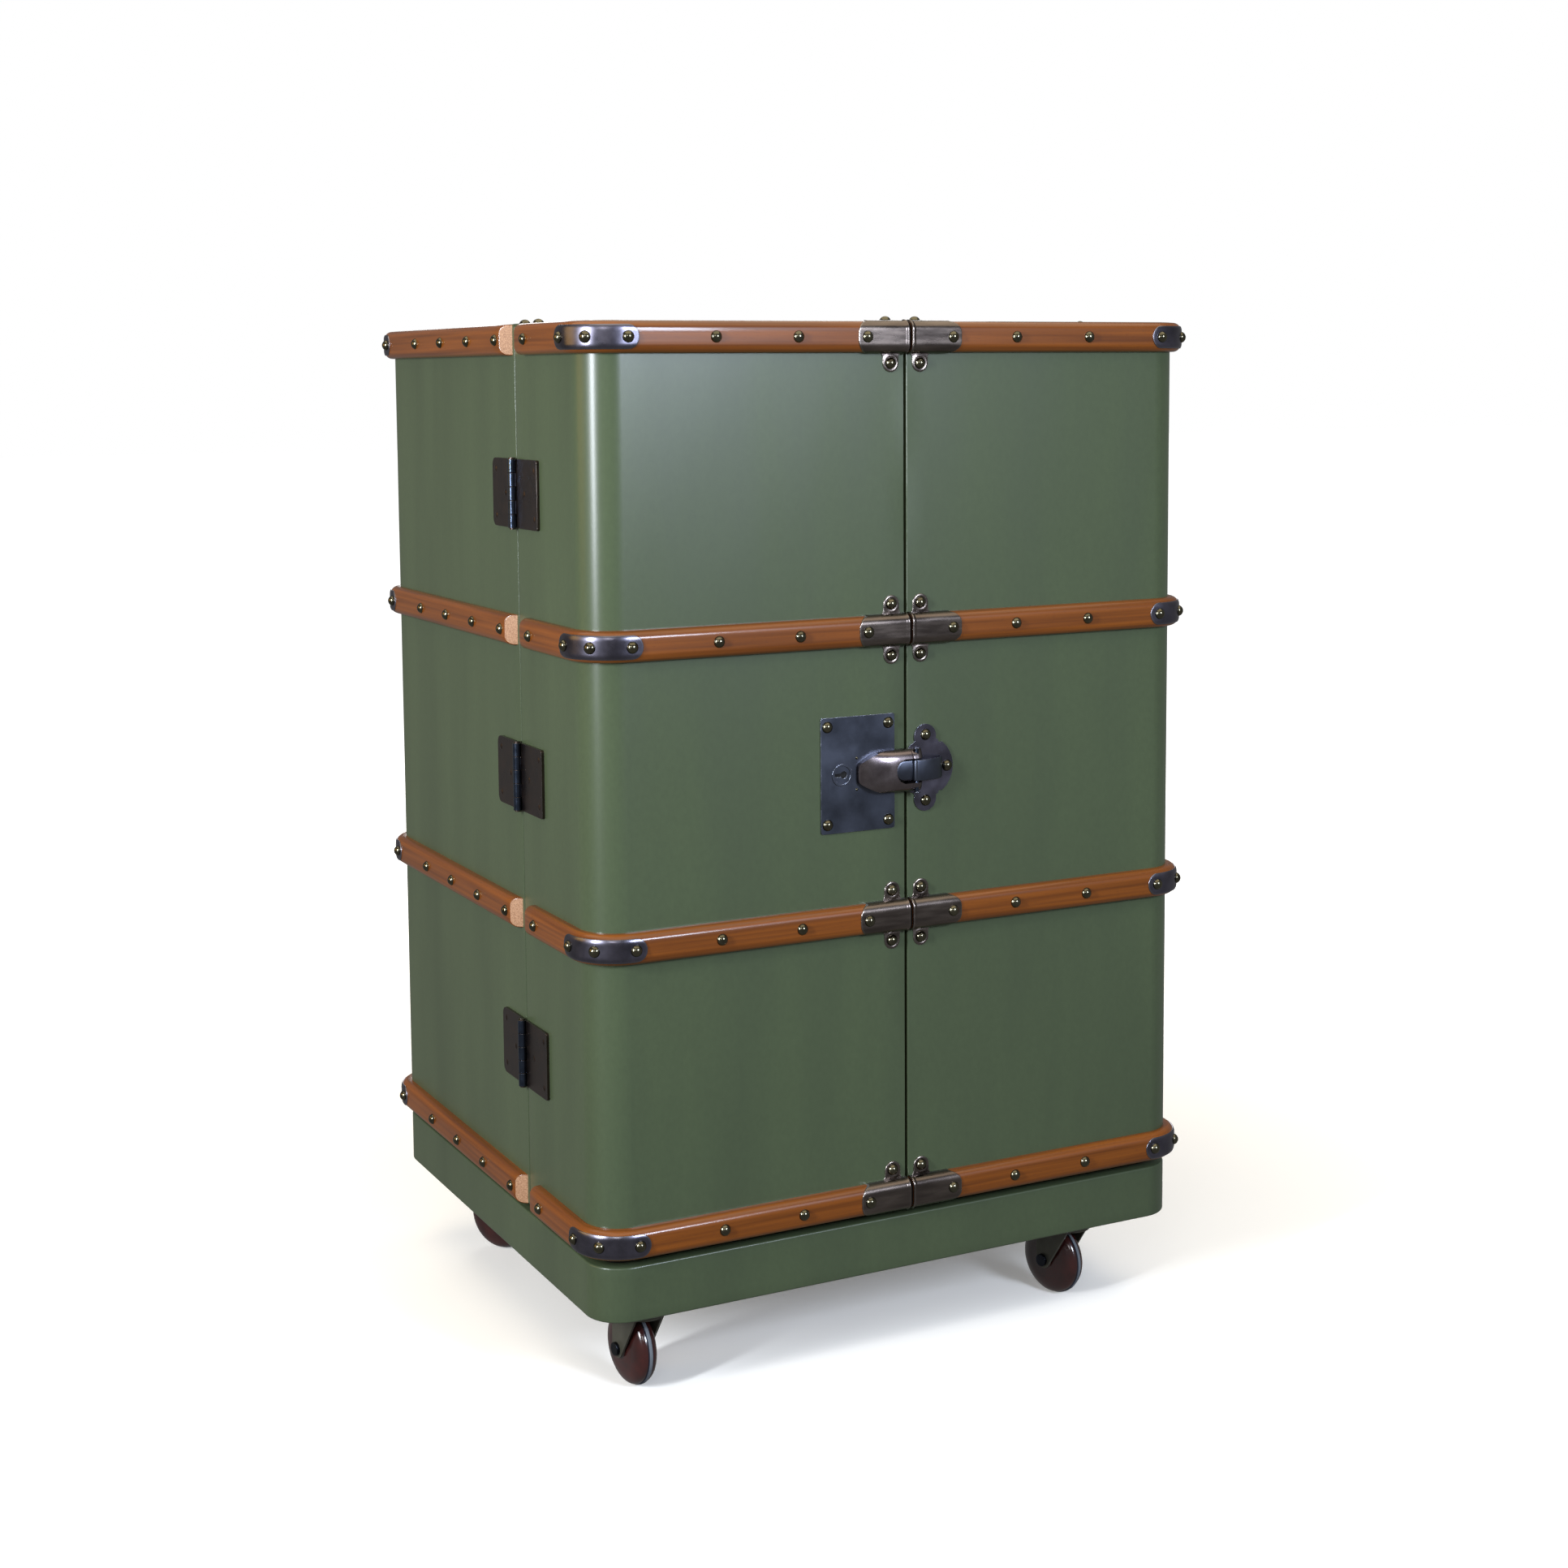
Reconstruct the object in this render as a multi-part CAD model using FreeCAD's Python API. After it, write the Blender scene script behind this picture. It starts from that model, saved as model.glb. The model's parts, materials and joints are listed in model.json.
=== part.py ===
"""Wheeled wardrobe trunk: a rear carcass, two deep hinged front doors, a plinth and four casters.

Millimetres, +Z up, the front faces -Y. The origin is on the floor under the middle of the shell.
"""
import FreeCAD, Part
import math
import os

from FreeCAD import Vector

os.makedirs("parts", exist_ok=True)

# ---------------------------------------------------------------- driving dimensions
SHELL_WIDTH = 690.0          # outside of the covered shell, left to right
SHELL_DEPTH = 605.0          # front face of the doors to the back
SHELL_HEIGHT = 913.0         # underside to top of the shell
DOOR_DEPTH = 187.5           # how far the side seam lies behind the front face
CORNER_RADIUS = 38.0         # vertical corners of the shell and the plinth
WALL = 12.0                  # covered plywood wrap
SIDE_GAP = 1.5               # seam between carcass and door
CENTRE_GAP = 3.0             # seam between the two doors

PLINTH_HEIGHT = 56.2
PLINTH_WALL = 15.0
SHADOW_GAP = 9.2             # dark recess between plinth and shell
RISER_INSET = WALL + 2.0

BOARD = 15.0                 # top, bottom and plinth boards
CENTRE_STILE = 15.0
HINGE_STILE_WIDTH = 26.0
HINGE_STILE_DEPTH = 30.0
SHELF = 12.0
BOARD_RADIUS_EASE = 0.5      # boards clear the curved inside of the wrap by this much
RAIL_RADIUS = 4.0
RAIL_RISE = 70.0             # rail above its shelf
RAIL_INSET = 9.0             # rail axis in front of the door's open side

BAND_COUNT = 4
BAND_HEIGHT = 31.0
BAND_PROUD = 11.5
BAND_SHOULDER = 8.5          # radius of the rounded long edges
BAND_SETBACK_DOOR = 28.0     # the door's band stops this far in front of the seam
BAND_SETBACK_CARCASS = 6.0   # foot of the slanted end behind the seam
BAND_END_SLANT = 9.0         # how much further back the outer face is cut

SHEET = 1.0                  # thickness of caps, sleeves and ears
CAP_HALF_HEIGHT = 11.5
CAP_END_RADIUS = 11.5
SLEEVE_LENGTH = 58.0
SLEEVE_CORNER = 12.0
LIP_WIDTH = 3.0
EAR_WIDTH = 18.0
EAR_X = 17.0
EAR_STUD_RISE = 26.0         # ear stud above or below the middle of its band

STUD_RADIUS = 6.0
STUD_HEIGHT = 4.5
STUD_SHANK_RADIUS = 1.6
STUD_SHANK = 0.75 * WALL     # stays inside the wall under a band
FRONT_STUDS = (49.5, 126.0, 215.0)
BACK_STUDS = (0.0, 84.0, 168.0, 252.0)
SIDE_STUD_FIRST = 26.0       # first carcass stud behind the seam
SIDE_STUD_PITCH = 84.0
SIDE_STUD_COUNT = 4
DOOR_SIDE_STUD = 54.0        # door stud in front of the seam
CAP_MID_ANGLE = 42.0         # middle cap stud, degrees round the corner from the side

SEAM_PLATE_WIDTH = 22.0      # small plates on the top at the side seams
SEAM_PLATE_RUN = 28.0
SEAM_PLATE_CORNER = 6.6
SEAM_STUD_OFF = 18.0

HINGE_PIN_OUT = 5.0          # pin axis outside the shell's side
HINGE_LEAF = 62.0
HINGE_HEIGHT = 70.0
HINGE_THICK = 3.0
HINGE_PIN_HEAD = 1.4
PIN_HEAD_FACTOR = 1.7        # head radius over pin radius
LEAF_SCREW_INSET = 9.0       # far screws from the leaf's far edge
LEAF_SCREW_RISE = 24.0       # far screws above and below the leaf's middle
LEAF_SCREW_MID = 26.0        # middle screw from the seam
KNUCKLE_RADIUS = 4.6
KNUCKLE_COUNT = 5
KNUCKLE_GAP = 0.4
LEAF_RELIEF = 0.7            # leaf edge clear of the other leaf's knuckles
HINGE_PIN_RADIUS = 2.0
RUNNING_CLEARANCE = 0.05
HINGE_CORNER_REAR = 8.0
HINGE_CORNER_DOOR = 3.0
SCREW_HEAD_RADIUS = 3.6
SCREW_HEAD = 0.8
SCREW_SHANK_RADIUS = 1.9
SCREW_LENGTH = WALL + 4.0    # through the leaf and the wall into the stile

LOCK_RISE = 3.0              # latch above the middle of the second section
HINGE_DROP = 3.0             # middle hinges below it
HINGE_SPREAD = 0.985         # hinge pitch over the band pitch
LOCK_WIDTH = 85.0
LOCK_HEIGHT = 118.0
LOCK_THICK = 1.5
LOCK_X = -56.5               # middle of the lock plate
LOCK_STUD_INSET_X = 7.5
LOCK_STUD_INSET_Z = 9.3
KEYHOLE_X = -73.0
KEYHOLE_RADIUS = 3.6
KEYHOLE_SLOT = 10.0          # slot from the hole's middle, to the left
KEYHOLE_SLOT_HALF = 1.6
COLLAR_OUTER = 11.5
COLLAR_INNER = 9.2
COLLAR_THICK = 1.0
COLLAR_SHIFT = 2.0           # collar's middle to the left of the hole's
LOCK_CASE = (64.0, 16.0, 92.0)
LOCK_CASE_EASE = 2.0
LOCK_CORNER = 2.5
HASP_PLATE_X = 24.0
HASP_PLATE_RADIUS = 31.0
LOBE_RISE = 32.0
LOBE_RADIUS = 13.0
LOBE_SHIFT = 2.0             # lobes' middle to the left of the plate's
NICK_RADIUS = 2.6
NICK_OUT = 17.0
NICK_RISE = 27.5
NICK_SHIFT = 1.0
HASP_PLATE_GAP = 0.7         # plate behind the door's edge
HASP_STUDS = ((22.5, 34.0), (22.5, -34.0), (48.0, 0.0))
KNUCKLE_OUT = 4.2            # outer radius of the strap's roll
HASP_PIN_X = 6.0
HASP_PIN_OUT = 12.0          # hasp pin axis in front of the doors
HASP_PIN_RADIUS = 2.0
HASP_PIN_PLAY = 0.3          # pin past each end of the hasp
HASP_PIN_HEAD = 1.2
HASP_LENGTH = 64.0           # pin to the closed tip
HASP_HALF_HEIGHT = 22.0
HASP_ARM = 9.5
HASP_CLEAR = 0.6             # back of the hasp in front of the lock plate
STRAP_THICK = 2.4
STRAP_HALF_HEIGHT = 10.8
STRAP_FOOT_X = 41.0
STRAP_FLAT = 12.0            # straight run of the strap beside the pin
STRAP_BOW = (8.0, 5.0, 7.0)  # middle of the bow: in from the foot, behind the crown outside and inside
HASP_BLUNT = 9.0             # half height of the hasp's blunt tip
HASP_SHOULDER = 30.0         # pin to the start of the tapering part
HASP_BULGE = (9.0, 5.0)      # middle of the taper: in from the tip, below the full height
HASP_ARM_PAST = 4.0          # arms past the pin's roll
HASP_ROUND = 6.0
HASP_WINDOW_BACK = 13.0      # window's middle before the pin

CASTER_HEIGHT = 96.6
CASTER_INSET_SIDE = 87.0     # swivel axes from the plinth's sides, before the shift
CASTER_INSET_FRONT = 51.5
CASTER_INSET_REAR = 87.5
CASTER_SHIFT = -19.0         # all four sit this far to the left
CASTER_TRAIL = 25.0
CASTER_TURN = {"front_left": 186.0, "front_right": 193.0, "rear_left": 31.0, "rear_right": 20.0}
WHEEL_RADIUS = 40.0
WHEEL_HALF_WIDTH = 13.5
WHEEL_BULGE = 0.64           # share of the radius where the disc starts to curve in
WHEEL_GROOVE = 1.2           # depth of the groove beside the tread
WHEEL_GROOVE_WIDTH = 0.9
HUB_WALL = 4.5
TREAD_HALF_WIDTH = 1.8
HUB_FACE = 14.6              # half the hub's length
FORK_INSIDE = 15.2           # half the gap between the fork's legs
FORK_THICK = 2.5
FORK_CROWN = 4.5
AXLE_RADIUS = 4.0
KINGPIN_RADIUS = 5.0
CASTER_PLATE = 70.0
CASTER_PLATE_THICK = 3.0
RACEWAY_RADIUS = 23.0
RACEWAY_HEIGHT = 7.5
RACEWAY_TAPER = 4.0
SWIVEL_GAP = 0.5
CROWN_RADIUS = 22.0
CROWN_CHORD = 0.7            # share of the crown's radius where the legs' rear edge starts
LEG_TIP_RADIUS = 9.5
KINGPIN_HEAD = (3.0, 2.5)    # head past the pin's radius, and its height
PLATE_CORNER = 6.0
PLATE_BOLT_INSET = 9.0
PLATE_BOLT_SIZE = (5.0, 2.6, 2.5, 14.0)
AXLE_HEAD = (2.8, 3.5)       # head past the axle's radius, and its height

# ---------------------------------------------------------------- places worked out from them
HALF_W = SHELL_WIDTH / 2
FRONT_Y = -SHELL_DEPTH / 2
BACK_Y = SHELL_DEPTH / 2
SEAM_Y = FRONT_Y + DOOR_DEPTH
PLINTH_Z = CASTER_HEIGHT
PLINTH_TOP = PLINTH_Z + PLINTH_HEIGHT
SHELL_Z = PLINTH_TOP + SHADOW_GAP
SHELL_TOP = SHELL_Z + SHELL_HEIGHT
BAND_PITCH = (SHELL_HEIGHT - BAND_HEIGHT) / (BAND_COUNT - 1)
BAND_BASES = [SHELL_Z + i * BAND_PITCH for i in range(BAND_COUNT)]
BAND_MIDDLES = [z + BAND_HEIGHT / 2 for z in BAND_BASES]
SECTION_MIDDLES = [(a + b) / 2 for a, b in zip(BAND_MIDDLES, BAND_MIDDLES[1:])]
SHELF_LEVELS = BAND_MIDDLES[1:-1]
LOCK_Z = SECTION_MIDDLES[1] + LOCK_RISE
HINGE_LEVELS = [SECTION_MIDDLES[1] - HINGE_DROP + i * HINGE_SPREAD * BAND_PITCH for i in (-1, 0, 1)]
CARCASS_FRONT = SEAM_Y + SIDE_GAP / 2
DOOR_REAR = SEAM_Y - SIDE_GAP / 2
DOOR_EDGE = CENTRE_GAP / 2
INNER_W = HALF_W - WALL
INNER_FRONT = FRONT_Y + WALL
INNER_BACK = BACK_Y - WALL
PIN_X = HALF_W + HINGE_PIN_OUT
HASP_PIN_Y = FRONT_Y - HASP_PIN_OUT
HASP_BACK_Y = FRONT_Y - LOCK_THICK - HASP_CLEAR
SEAM_PLATE_X = HALF_W - WALL / 2 - HINGE_STILE_WIDTH / 2
CROWN_TOP = CASTER_HEIGHT - CASTER_PLATE_THICK - RACEWAY_HEIGHT - SWIVEL_GAP
SWIVEL_X = HALF_W - CASTER_INSET_SIDE
SWIVEL_FRONT = FRONT_Y + CASTER_INSET_FRONT
SWIVEL_REAR = BACK_Y - CASTER_INSET_REAR
CASTER_PLACES = {"front_left": (CASTER_SHIFT - SWIVEL_X, SWIVEL_FRONT),
                 "front_right": (CASTER_SHIFT + SWIVEL_X, SWIVEL_FRONT),
                 "rear_left": (CASTER_SHIFT - SWIVEL_X, SWIVEL_REAR),
                 "rear_right": (CASTER_SHIFT + SWIVEL_X, SWIVEL_REAR)}
TALL = 4000.0                # longer than anything here, for cutting


def save(node, shape):
    """Write one sub-part's solid or group of solids."""
    shape.exportStep("parts/" + node + ".step")


def group(shapes):
    """Separate solids that share one node."""
    solids = []
    for shape in shapes:
        solids.extend(shape.Solids)
    return Part.makeCompound(solids)


def box(x0, x1, y0, y1, z0, z1):
    return Part.makeBox(x1 - x0, y1 - y0, z1 - z0, Vector(x0, y0, z0))


def cylinder(radius, height, base, axis=Vector(0, 0, 1)):
    return Part.makeCylinder(radius, height, base, axis)


def rounded_prism(x0, x1, y0, y1, z0, z1, radius):
    """A block with four rounded upright edges."""
    block = box(x0, x1, y0, y1, z0, z1)
    upright = [e for e in block.Edges if abs(e.Vertexes[0].Z - e.Vertexes[1].Z) > 1e-6]
    return block.makeFillet(radius, upright)


def shell_prism(grow, z0, z1):
    """The shell's plan, grown outwards by the given amount, between two heights."""
    return rounded_prism(-HALF_W - grow, HALF_W + grow, FRONT_Y - grow, BACK_Y + grow, z0, z1,
                         CORNER_RADIUS + grow)


def shell_wrap(z0, z1, wall):
    return shell_prism(0, z0, z1).cut(shell_prism(-wall, z0, z1))


def mirrored(shape):
    """The same piece on the left-hand side."""
    return shape.mirror(Vector(0, 0, 0), Vector(1, 0, 0))


def carcass_side(shape, setback=0.0):
    front = CARCASS_FRONT + setback
    return shape.common(box(-TALL, TALL, front, TALL, -TALL, TALL))


def right_door_side(shape, setback=0.0):
    return shape.common(box(DOOR_EDGE, TALL, -TALL, DOOR_REAR - setback, -TALL, TALL))


# ---------------------------------------------------------------- bands, caps, sleeves
def band_solid(grow):
    """A band's outside, grown by the sheet that lies on it, as a filled block at height zero."""
    outside = shell_prism(BAND_PROUD + grow, -grow, BAND_HEIGHT + grow)
    long_edges = [e for e in outside.Edges if abs(e.BoundBox.ZLength) < 1e-6]
    return outside.makeFillet(BAND_SHOULDER + grow, long_edges)


BAND_BLOCKS = [band_solid(i * SHEET) for i in range(3)]
SHELL_BLOCK = shell_prism(0, -2 * BAND_HEIGHT, 3 * BAND_HEIGHT)


def band_layer(inner, outer):
    """The skin between two sheet counts, outside the shell."""
    return BAND_BLOCKS[outer].cut(BAND_BLOCKS[inner]).cut(SHELL_BLOCK)


BAND_RING = BAND_BLOCKS[0].cut(SHELL_BLOCK)
CAP_SKIN = band_layer(0, 1)
LIP_SKIN = band_layer(1, 2)


def lifted(shape, z):
    copy = shape.copy()
    copy.translate(Vector(0, 0, z))
    return copy


def at_bands(shape):
    return group([lifted(shape, z) for z in BAND_BASES])


def carcass_bands():
    """The U-shaped bands of the carcass, with slanted front ends."""
    foot = SEAM_Y + BAND_SETBACK_CARCASS
    slant = BAND_END_SLANT
    far = HALF_W + 2 * BAND_PROUD
    corners = [Vector(HALF_W, foot, 0), Vector(far, foot + 2 * slant, 0), Vector(far, TALL, 0),
               Vector(0, TALL, 0), Vector(0, foot, 0), Vector(HALF_W, foot, 0)]
    keep = Part.Face(Part.makePolygon(corners)).extrude(Vector(0, 0, TALL))
    keep.translate(Vector(0, 0, -TALL / 2))
    return at_bands(BAND_RING.common(keep.fuse(mirrored(keep)).removeSplitter()))


def corner_window(side_y, sign):
    """Where a corner cap lies: the corner, with a round end along each of its two sides."""
    middle = BAND_HEIGHT / 2
    corner_x = HALF_W - CORNER_RADIUS
    low, high = middle - CAP_HALF_HEIGHT, middle + CAP_HALF_HEIGHT
    y_ends = sorted((side_y, sign * TALL))
    window = box(corner_x, TALL, y_ends[0], y_ends[1], low, high)
    front_end = cylinder(CAP_END_RADIUS, TALL, Vector(corner_x, side_y, middle), Vector(0, sign, 0))
    side_end = cylinder(CAP_END_RADIUS, TALL, Vector(corner_x, side_y, middle), Vector(1, 0, 0))
    return window.fuse([front_end, side_end])


def corner_cap(sign):
    """A steel cap round the right-hand corner at the front (-1) or the back (+1)."""
    centre_y = sign * (SHELL_DEPTH / 2 - CORNER_RADIUS)
    return CAP_SKIN.common(corner_window(centre_y, sign))


def ear(x, band_middle, direction):
    """A rounded tab on the shell above (+1) or below (-1) a band, with room for one stud."""
    reach = direction * EAR_STUD_RISE
    half = EAR_WIDTH / 2
    root = band_middle + direction * (BAND_HEIGHT / 2 + SHEET)
    z0, z1 = sorted((root, band_middle + reach))
    tab = box(x - half, x + half, FRONT_Y - SHEET, FRONT_Y, z0, z1)
    round_end = cylinder(half, SHEET, Vector(x, FRONT_Y - SHEET, band_middle + reach), Vector(0, 1, 0))
    return tab.fuse(round_end)


def folded_ear(x, level, direction):
    """The same tab, folded onto the top (+1) or the underside (-1) of the door."""
    half = EAR_WIDTH / 2
    run = EAR_STUD_RISE - BAND_HEIGHT / 2
    z = level if direction > 0 else level - SHEET
    tab = box(x - half, x + half, FRONT_Y, FRONT_Y + run, z, z + SHEET)
    return tab.fuse(cylinder(half, SHEET, Vector(x, FRONT_Y + run, z)))


def centre_sleeve(index):
    """The right door's sleeve over the end of one band, with its rolled lip and two ears."""
    middle = BAND_HEIGHT / 2
    half = middle + SHEET
    end = DOOR_EDGE + SLEEVE_LENGTH
    window = box(DOOR_EDGE, end, -TALL, 0, middle - half, middle + half)
    outer = [e for e in window.Edges
             if abs(e.Vertexes[0].X - end) < 1e-6 and abs(e.Vertexes[1].X - end) < 1e-6
             and abs(e.Vertexes[0].Z - e.Vertexes[1].Z) < 1e-6]
    sleeve = CAP_SKIN.common(window.makeFillet(SLEEVE_CORNER, outer))
    lip = LIP_SKIN.common(box(DOOR_EDGE, DOOR_EDGE + LIP_WIDTH, -TALL, 0, -TALL, TALL))
    sleeve = lifted(sleeve.fuse(lip), BAND_BASES[index])
    centre = BAND_MIDDLES[index]
    up = folded_ear(EAR_X, SHELL_TOP, 1) if index == BAND_COUNT - 1 else ear(EAR_X, centre, 1)
    down = folded_ear(EAR_X, SHELL_Z, -1) if index == 0 else ear(EAR_X, centre, -1)
    return sleeve.fuse([up, down]).removeSplitter()


# ---------------------------------------------------------------- studs and screws
def dome_nail(radius, height, shank_radius, shank):
    """A domed head on the XY plane with a shank below it."""
    ball = (radius ** 2 + height ** 2) / (2 * height)
    head = Part.makeSphere(ball, Vector(0, 0, height - ball))
    head = head.common(box(-radius, radius, -radius, radius, 0, height))
    return head.fuse(cylinder(shank_radius, shank, Vector(0, 0, -shank))).removeSplitter()


STUD = dome_nail(STUD_RADIUS, STUD_HEIGHT, STUD_SHANK_RADIUS, STUD_SHANK)
SCREW = dome_nail(SCREW_HEAD_RADIUS, SCREW_HEAD, SCREW_SHANK_RADIUS, SCREW_LENGTH)


def driven(nail, point, outward):
    """A copy of a nail with its head's underside at a point, facing outwards."""
    copy = nail.copy()
    turn = FreeCAD.Rotation(Vector(0, 0, 1), Vector(*outward))
    copy.Placement = FreeCAD.Placement(Vector(*point), turn)
    return copy


def cap_studs(sign, z):
    """Three studs in a right-hand corner cap: one at each end and one on the bend."""
    corner_x = HALF_W - CORNER_RADIUS
    corner_y = sign * (SHELL_DEPTH / 2 - CORNER_RADIUS)
    reach = CORNER_RADIUS + BAND_PROUD + SHEET
    studs = []
    for degrees in (0.0, CAP_MID_ANGLE, 90.0):
        out = (math.cos(math.radians(degrees)), sign * math.sin(math.radians(degrees)), 0)
        point = (corner_x + reach * out[0], corner_y + reach * out[1], z)
        studs.append(driven(STUD, point, out))
    return studs


def right_door_studs():
    studs = []
    face = FRONT_Y - BAND_PROUD
    for index, z in enumerate(BAND_MIDDLES):
        for x in FRONT_STUDS:
            under = SHEET if x < DOOR_EDGE + SLEEVE_LENGTH else 0
            studs.append(driven(STUD, (x, face - under, z), (0, -1, 0)))
        side = (HALF_W + BAND_PROUD, SEAM_Y - DOOR_SIDE_STUD, z)
        studs.append(driven(STUD, side, (1, 0, 0)))
        studs.extend(cap_studs(-1, z))
        run = EAR_STUD_RISE - BAND_HEIGHT / 2
        if index == BAND_COUNT - 1:
            studs.append(driven(STUD, (EAR_X, FRONT_Y + run, SHELL_TOP + SHEET), (0, 0, 1)))
        else:
            studs.append(driven(STUD, (EAR_X, FRONT_Y - SHEET, z + EAR_STUD_RISE), (0, -1, 0)))
        if index == 0:
            studs.append(driven(STUD, (EAR_X, FRONT_Y + run, SHELL_Z - SHEET), (0, 0, -1)))
        else:
            studs.append(driven(STUD, (EAR_X, FRONT_Y - SHEET, z - EAR_STUD_RISE), (0, -1, 0)))
    studs.append(driven(STUD, (SEAM_PLATE_X, DOOR_REAR - SEAM_STUD_OFF, SHELL_TOP + SHEET), (0, 0, 1)))
    return studs


def carcass_studs():
    studs = []
    for z in BAND_MIDDLES:
        for sign in (-1, 1):
            for i in range(SIDE_STUD_COUNT):
                y = SEAM_Y + SIDE_STUD_FIRST + i * SIDE_STUD_PITCH
                studs.append(driven(STUD, (sign * (HALF_W + BAND_PROUD), y, z), (sign, 0, 0)))
            for stud in cap_studs(1, z):
                studs.append(stud if sign > 0 else mirrored(stud))
            for x in BACK_STUDS:
                if x > 0 or sign > 0:
                    studs.append(driven(STUD, (sign * x, BACK_Y + BAND_PROUD, z), (0, 1, 0)))
    for sign in (-1, 1):
        point = (sign * SEAM_PLATE_X, CARCASS_FRONT + SEAM_STUD_OFF, SHELL_TOP + SHEET)
        studs.append(driven(STUD, point, (0, 0, 1)))
    return studs


def seam_plate(y_edge, direction):
    """A plate on the top, from the seam back into one body."""
    y0, y1 = sorted((y_edge, y_edge + direction * SEAM_PLATE_RUN))
    half = SEAM_PLATE_WIDTH / 2
    plate = box(SEAM_PLATE_X - half, SEAM_PLATE_X + half, y0, y1, SHELL_TOP, SHELL_TOP + SHEET)
    far_y = y_edge + direction * SEAM_PLATE_RUN
    far = [e for e in plate.Edges if all(abs(v.Y - far_y) < 1e-6 for v in e.Vertexes)
           and abs(e.Vertexes[0].Z - e.Vertexes[1].Z) > 1e-6]
    return plate.makeFillet(SEAM_PLATE_CORNER, far)


# ---------------------------------------------------------------- boards
def carcass_board(z, thick, front):
    """A board across the carcass, from a given front edge to the back wall."""
    radius = CORNER_RADIUS - WALL + BOARD_RADIUS_EASE
    board = rounded_prism(-INNER_W, INNER_W, front - 2 * radius, INNER_BACK, z, z + thick, radius)
    board = board.common(box(-TALL, TALL, front, TALL, -TALL, TALL))
    stile_x, stile_y = INNER_W - HINGE_STILE_WIDTH, CARCASS_FRONT + HINGE_STILE_DEPTH
    if front < stile_y:
        for x0, x1 in ((-INNER_W, -stile_x), (stile_x, INNER_W)):
            board = board.cut(box(x0, x1, front, stile_y, z, z + thick))
    return board


def door_board(z, thick, back=DOOR_REAR):
    """A board inside the right door, from the front panel to its open side."""
    radius = CORNER_RADIUS - WALL + BOARD_RADIUS_EASE
    board = rounded_prism(-radius, INNER_W, INNER_FRONT, back + 2 * radius, z, z + thick, radius)
    board = board.common(box(DOOR_EDGE + CENTRE_STILE, TALL, -TALL, back, -TALL, TALL))
    stile_y = DOOR_REAR - HINGE_STILE_DEPTH
    return board.cut(box(INNER_W - HINGE_STILE_WIDTH, INNER_W, stile_y, DOOR_REAR, z, z + thick))


def hinge_stile(y0, y1):
    return box(INNER_W - HINGE_STILE_WIDTH, INNER_W, y0, y1, SHELL_Z, SHELL_TOP)


def door_stiles():
    centre = box(DOOR_EDGE, DOOR_EDGE + CENTRE_STILE, INNER_FRONT, DOOR_REAR, SHELL_Z, SHELL_TOP)
    return [centre, hinge_stile(DOOR_REAR - HINGE_STILE_DEPTH, DOOR_REAR)]


def door_rails():
    """A retaining rail over the floor and each shelf, between the two stiles."""
    x0 = DOOR_EDGE + CENTRE_STILE
    length = INNER_W - HINGE_STILE_WIDTH - x0
    levels = [SHELL_Z + BOARD] + [z + SHELF / 2 for z in SHELF_LEVELS]
    return [cylinder(RAIL_RADIUS, length, Vector(x0, DOOR_REAR - RAIL_INSET, z + RAIL_RISE),
                     Vector(1, 0, 0)) for z in levels]


# ---------------------------------------------------------------- hinges
def hinge_leaf(z, side, corner):
    """One right-hand leaf: side +1 lies on the carcass, -1 on the door."""
    near = KNUCKLE_RADIUS + LEAF_RELIEF
    y0, y1 = sorted((SEAM_Y + side * near, SEAM_Y + side * HINGE_LEAF))
    low, high = z - HINGE_HEIGHT / 2, z + HINGE_HEIGHT / 2
    leaf = box(HALF_W, HALF_W + HINGE_THICK, y0, y1, low, high)
    far_y = SEAM_Y + side * HINGE_LEAF
    far = [e for e in leaf.Edges if all(abs(v.Y - far_y) < 1e-6 for v in e.Vertexes)
           and abs(e.Vertexes[0].Z - e.Vertexes[1].Z) < 1e-6]
    leaf = leaf.makeFillet(corner, far)
    pitch = HINGE_HEIGHT / KNUCKLE_COUNT
    for i in range(KNUCKLE_COUNT):
        if (i % 2 == 0) == (side > 0):
            foot = low + i * pitch + (KNUCKLE_GAP / 2 if i > 0 else 0)
            head = low + (i + 1) * pitch - (KNUCKLE_GAP / 2 if i < KNUCKLE_COUNT - 1 else 0)
            y_in, y_out = sorted((SEAM_Y, SEAM_Y + side * near))
            tongue = box(HALF_W, HALF_W + HINGE_THICK, y_in, y_out, foot, head)
            barrel = cylinder(KNUCKLE_RADIUS, head - foot, Vector(PIN_X, SEAM_Y, foot))
            leaf = leaf.fuse([tongue, barrel])
    bore = cylinder(HINGE_PIN_RADIUS + RUNNING_CLEARANCE, HINGE_HEIGHT, Vector(PIN_X, SEAM_Y, low))
    return leaf.cut(bore).removeSplitter()


def hinge_pin(z):
    """A pin with a button head at each end."""
    low = z - HINGE_HEIGHT / 2
    pin = cylinder(HINGE_PIN_RADIUS, HINGE_HEIGHT, Vector(PIN_X, SEAM_Y, low))
    head = HINGE_PIN_HEAD
    head_radius = HINGE_PIN_RADIUS * PIN_HEAD_FACTOR
    top = cylinder(head_radius, head, Vector(PIN_X, SEAM_Y, z + HINGE_HEIGHT / 2))
    foot = cylinder(head_radius, head, Vector(PIN_X, SEAM_Y, low - head))
    return pin.fuse([top, foot]).removeSplitter()


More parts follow.
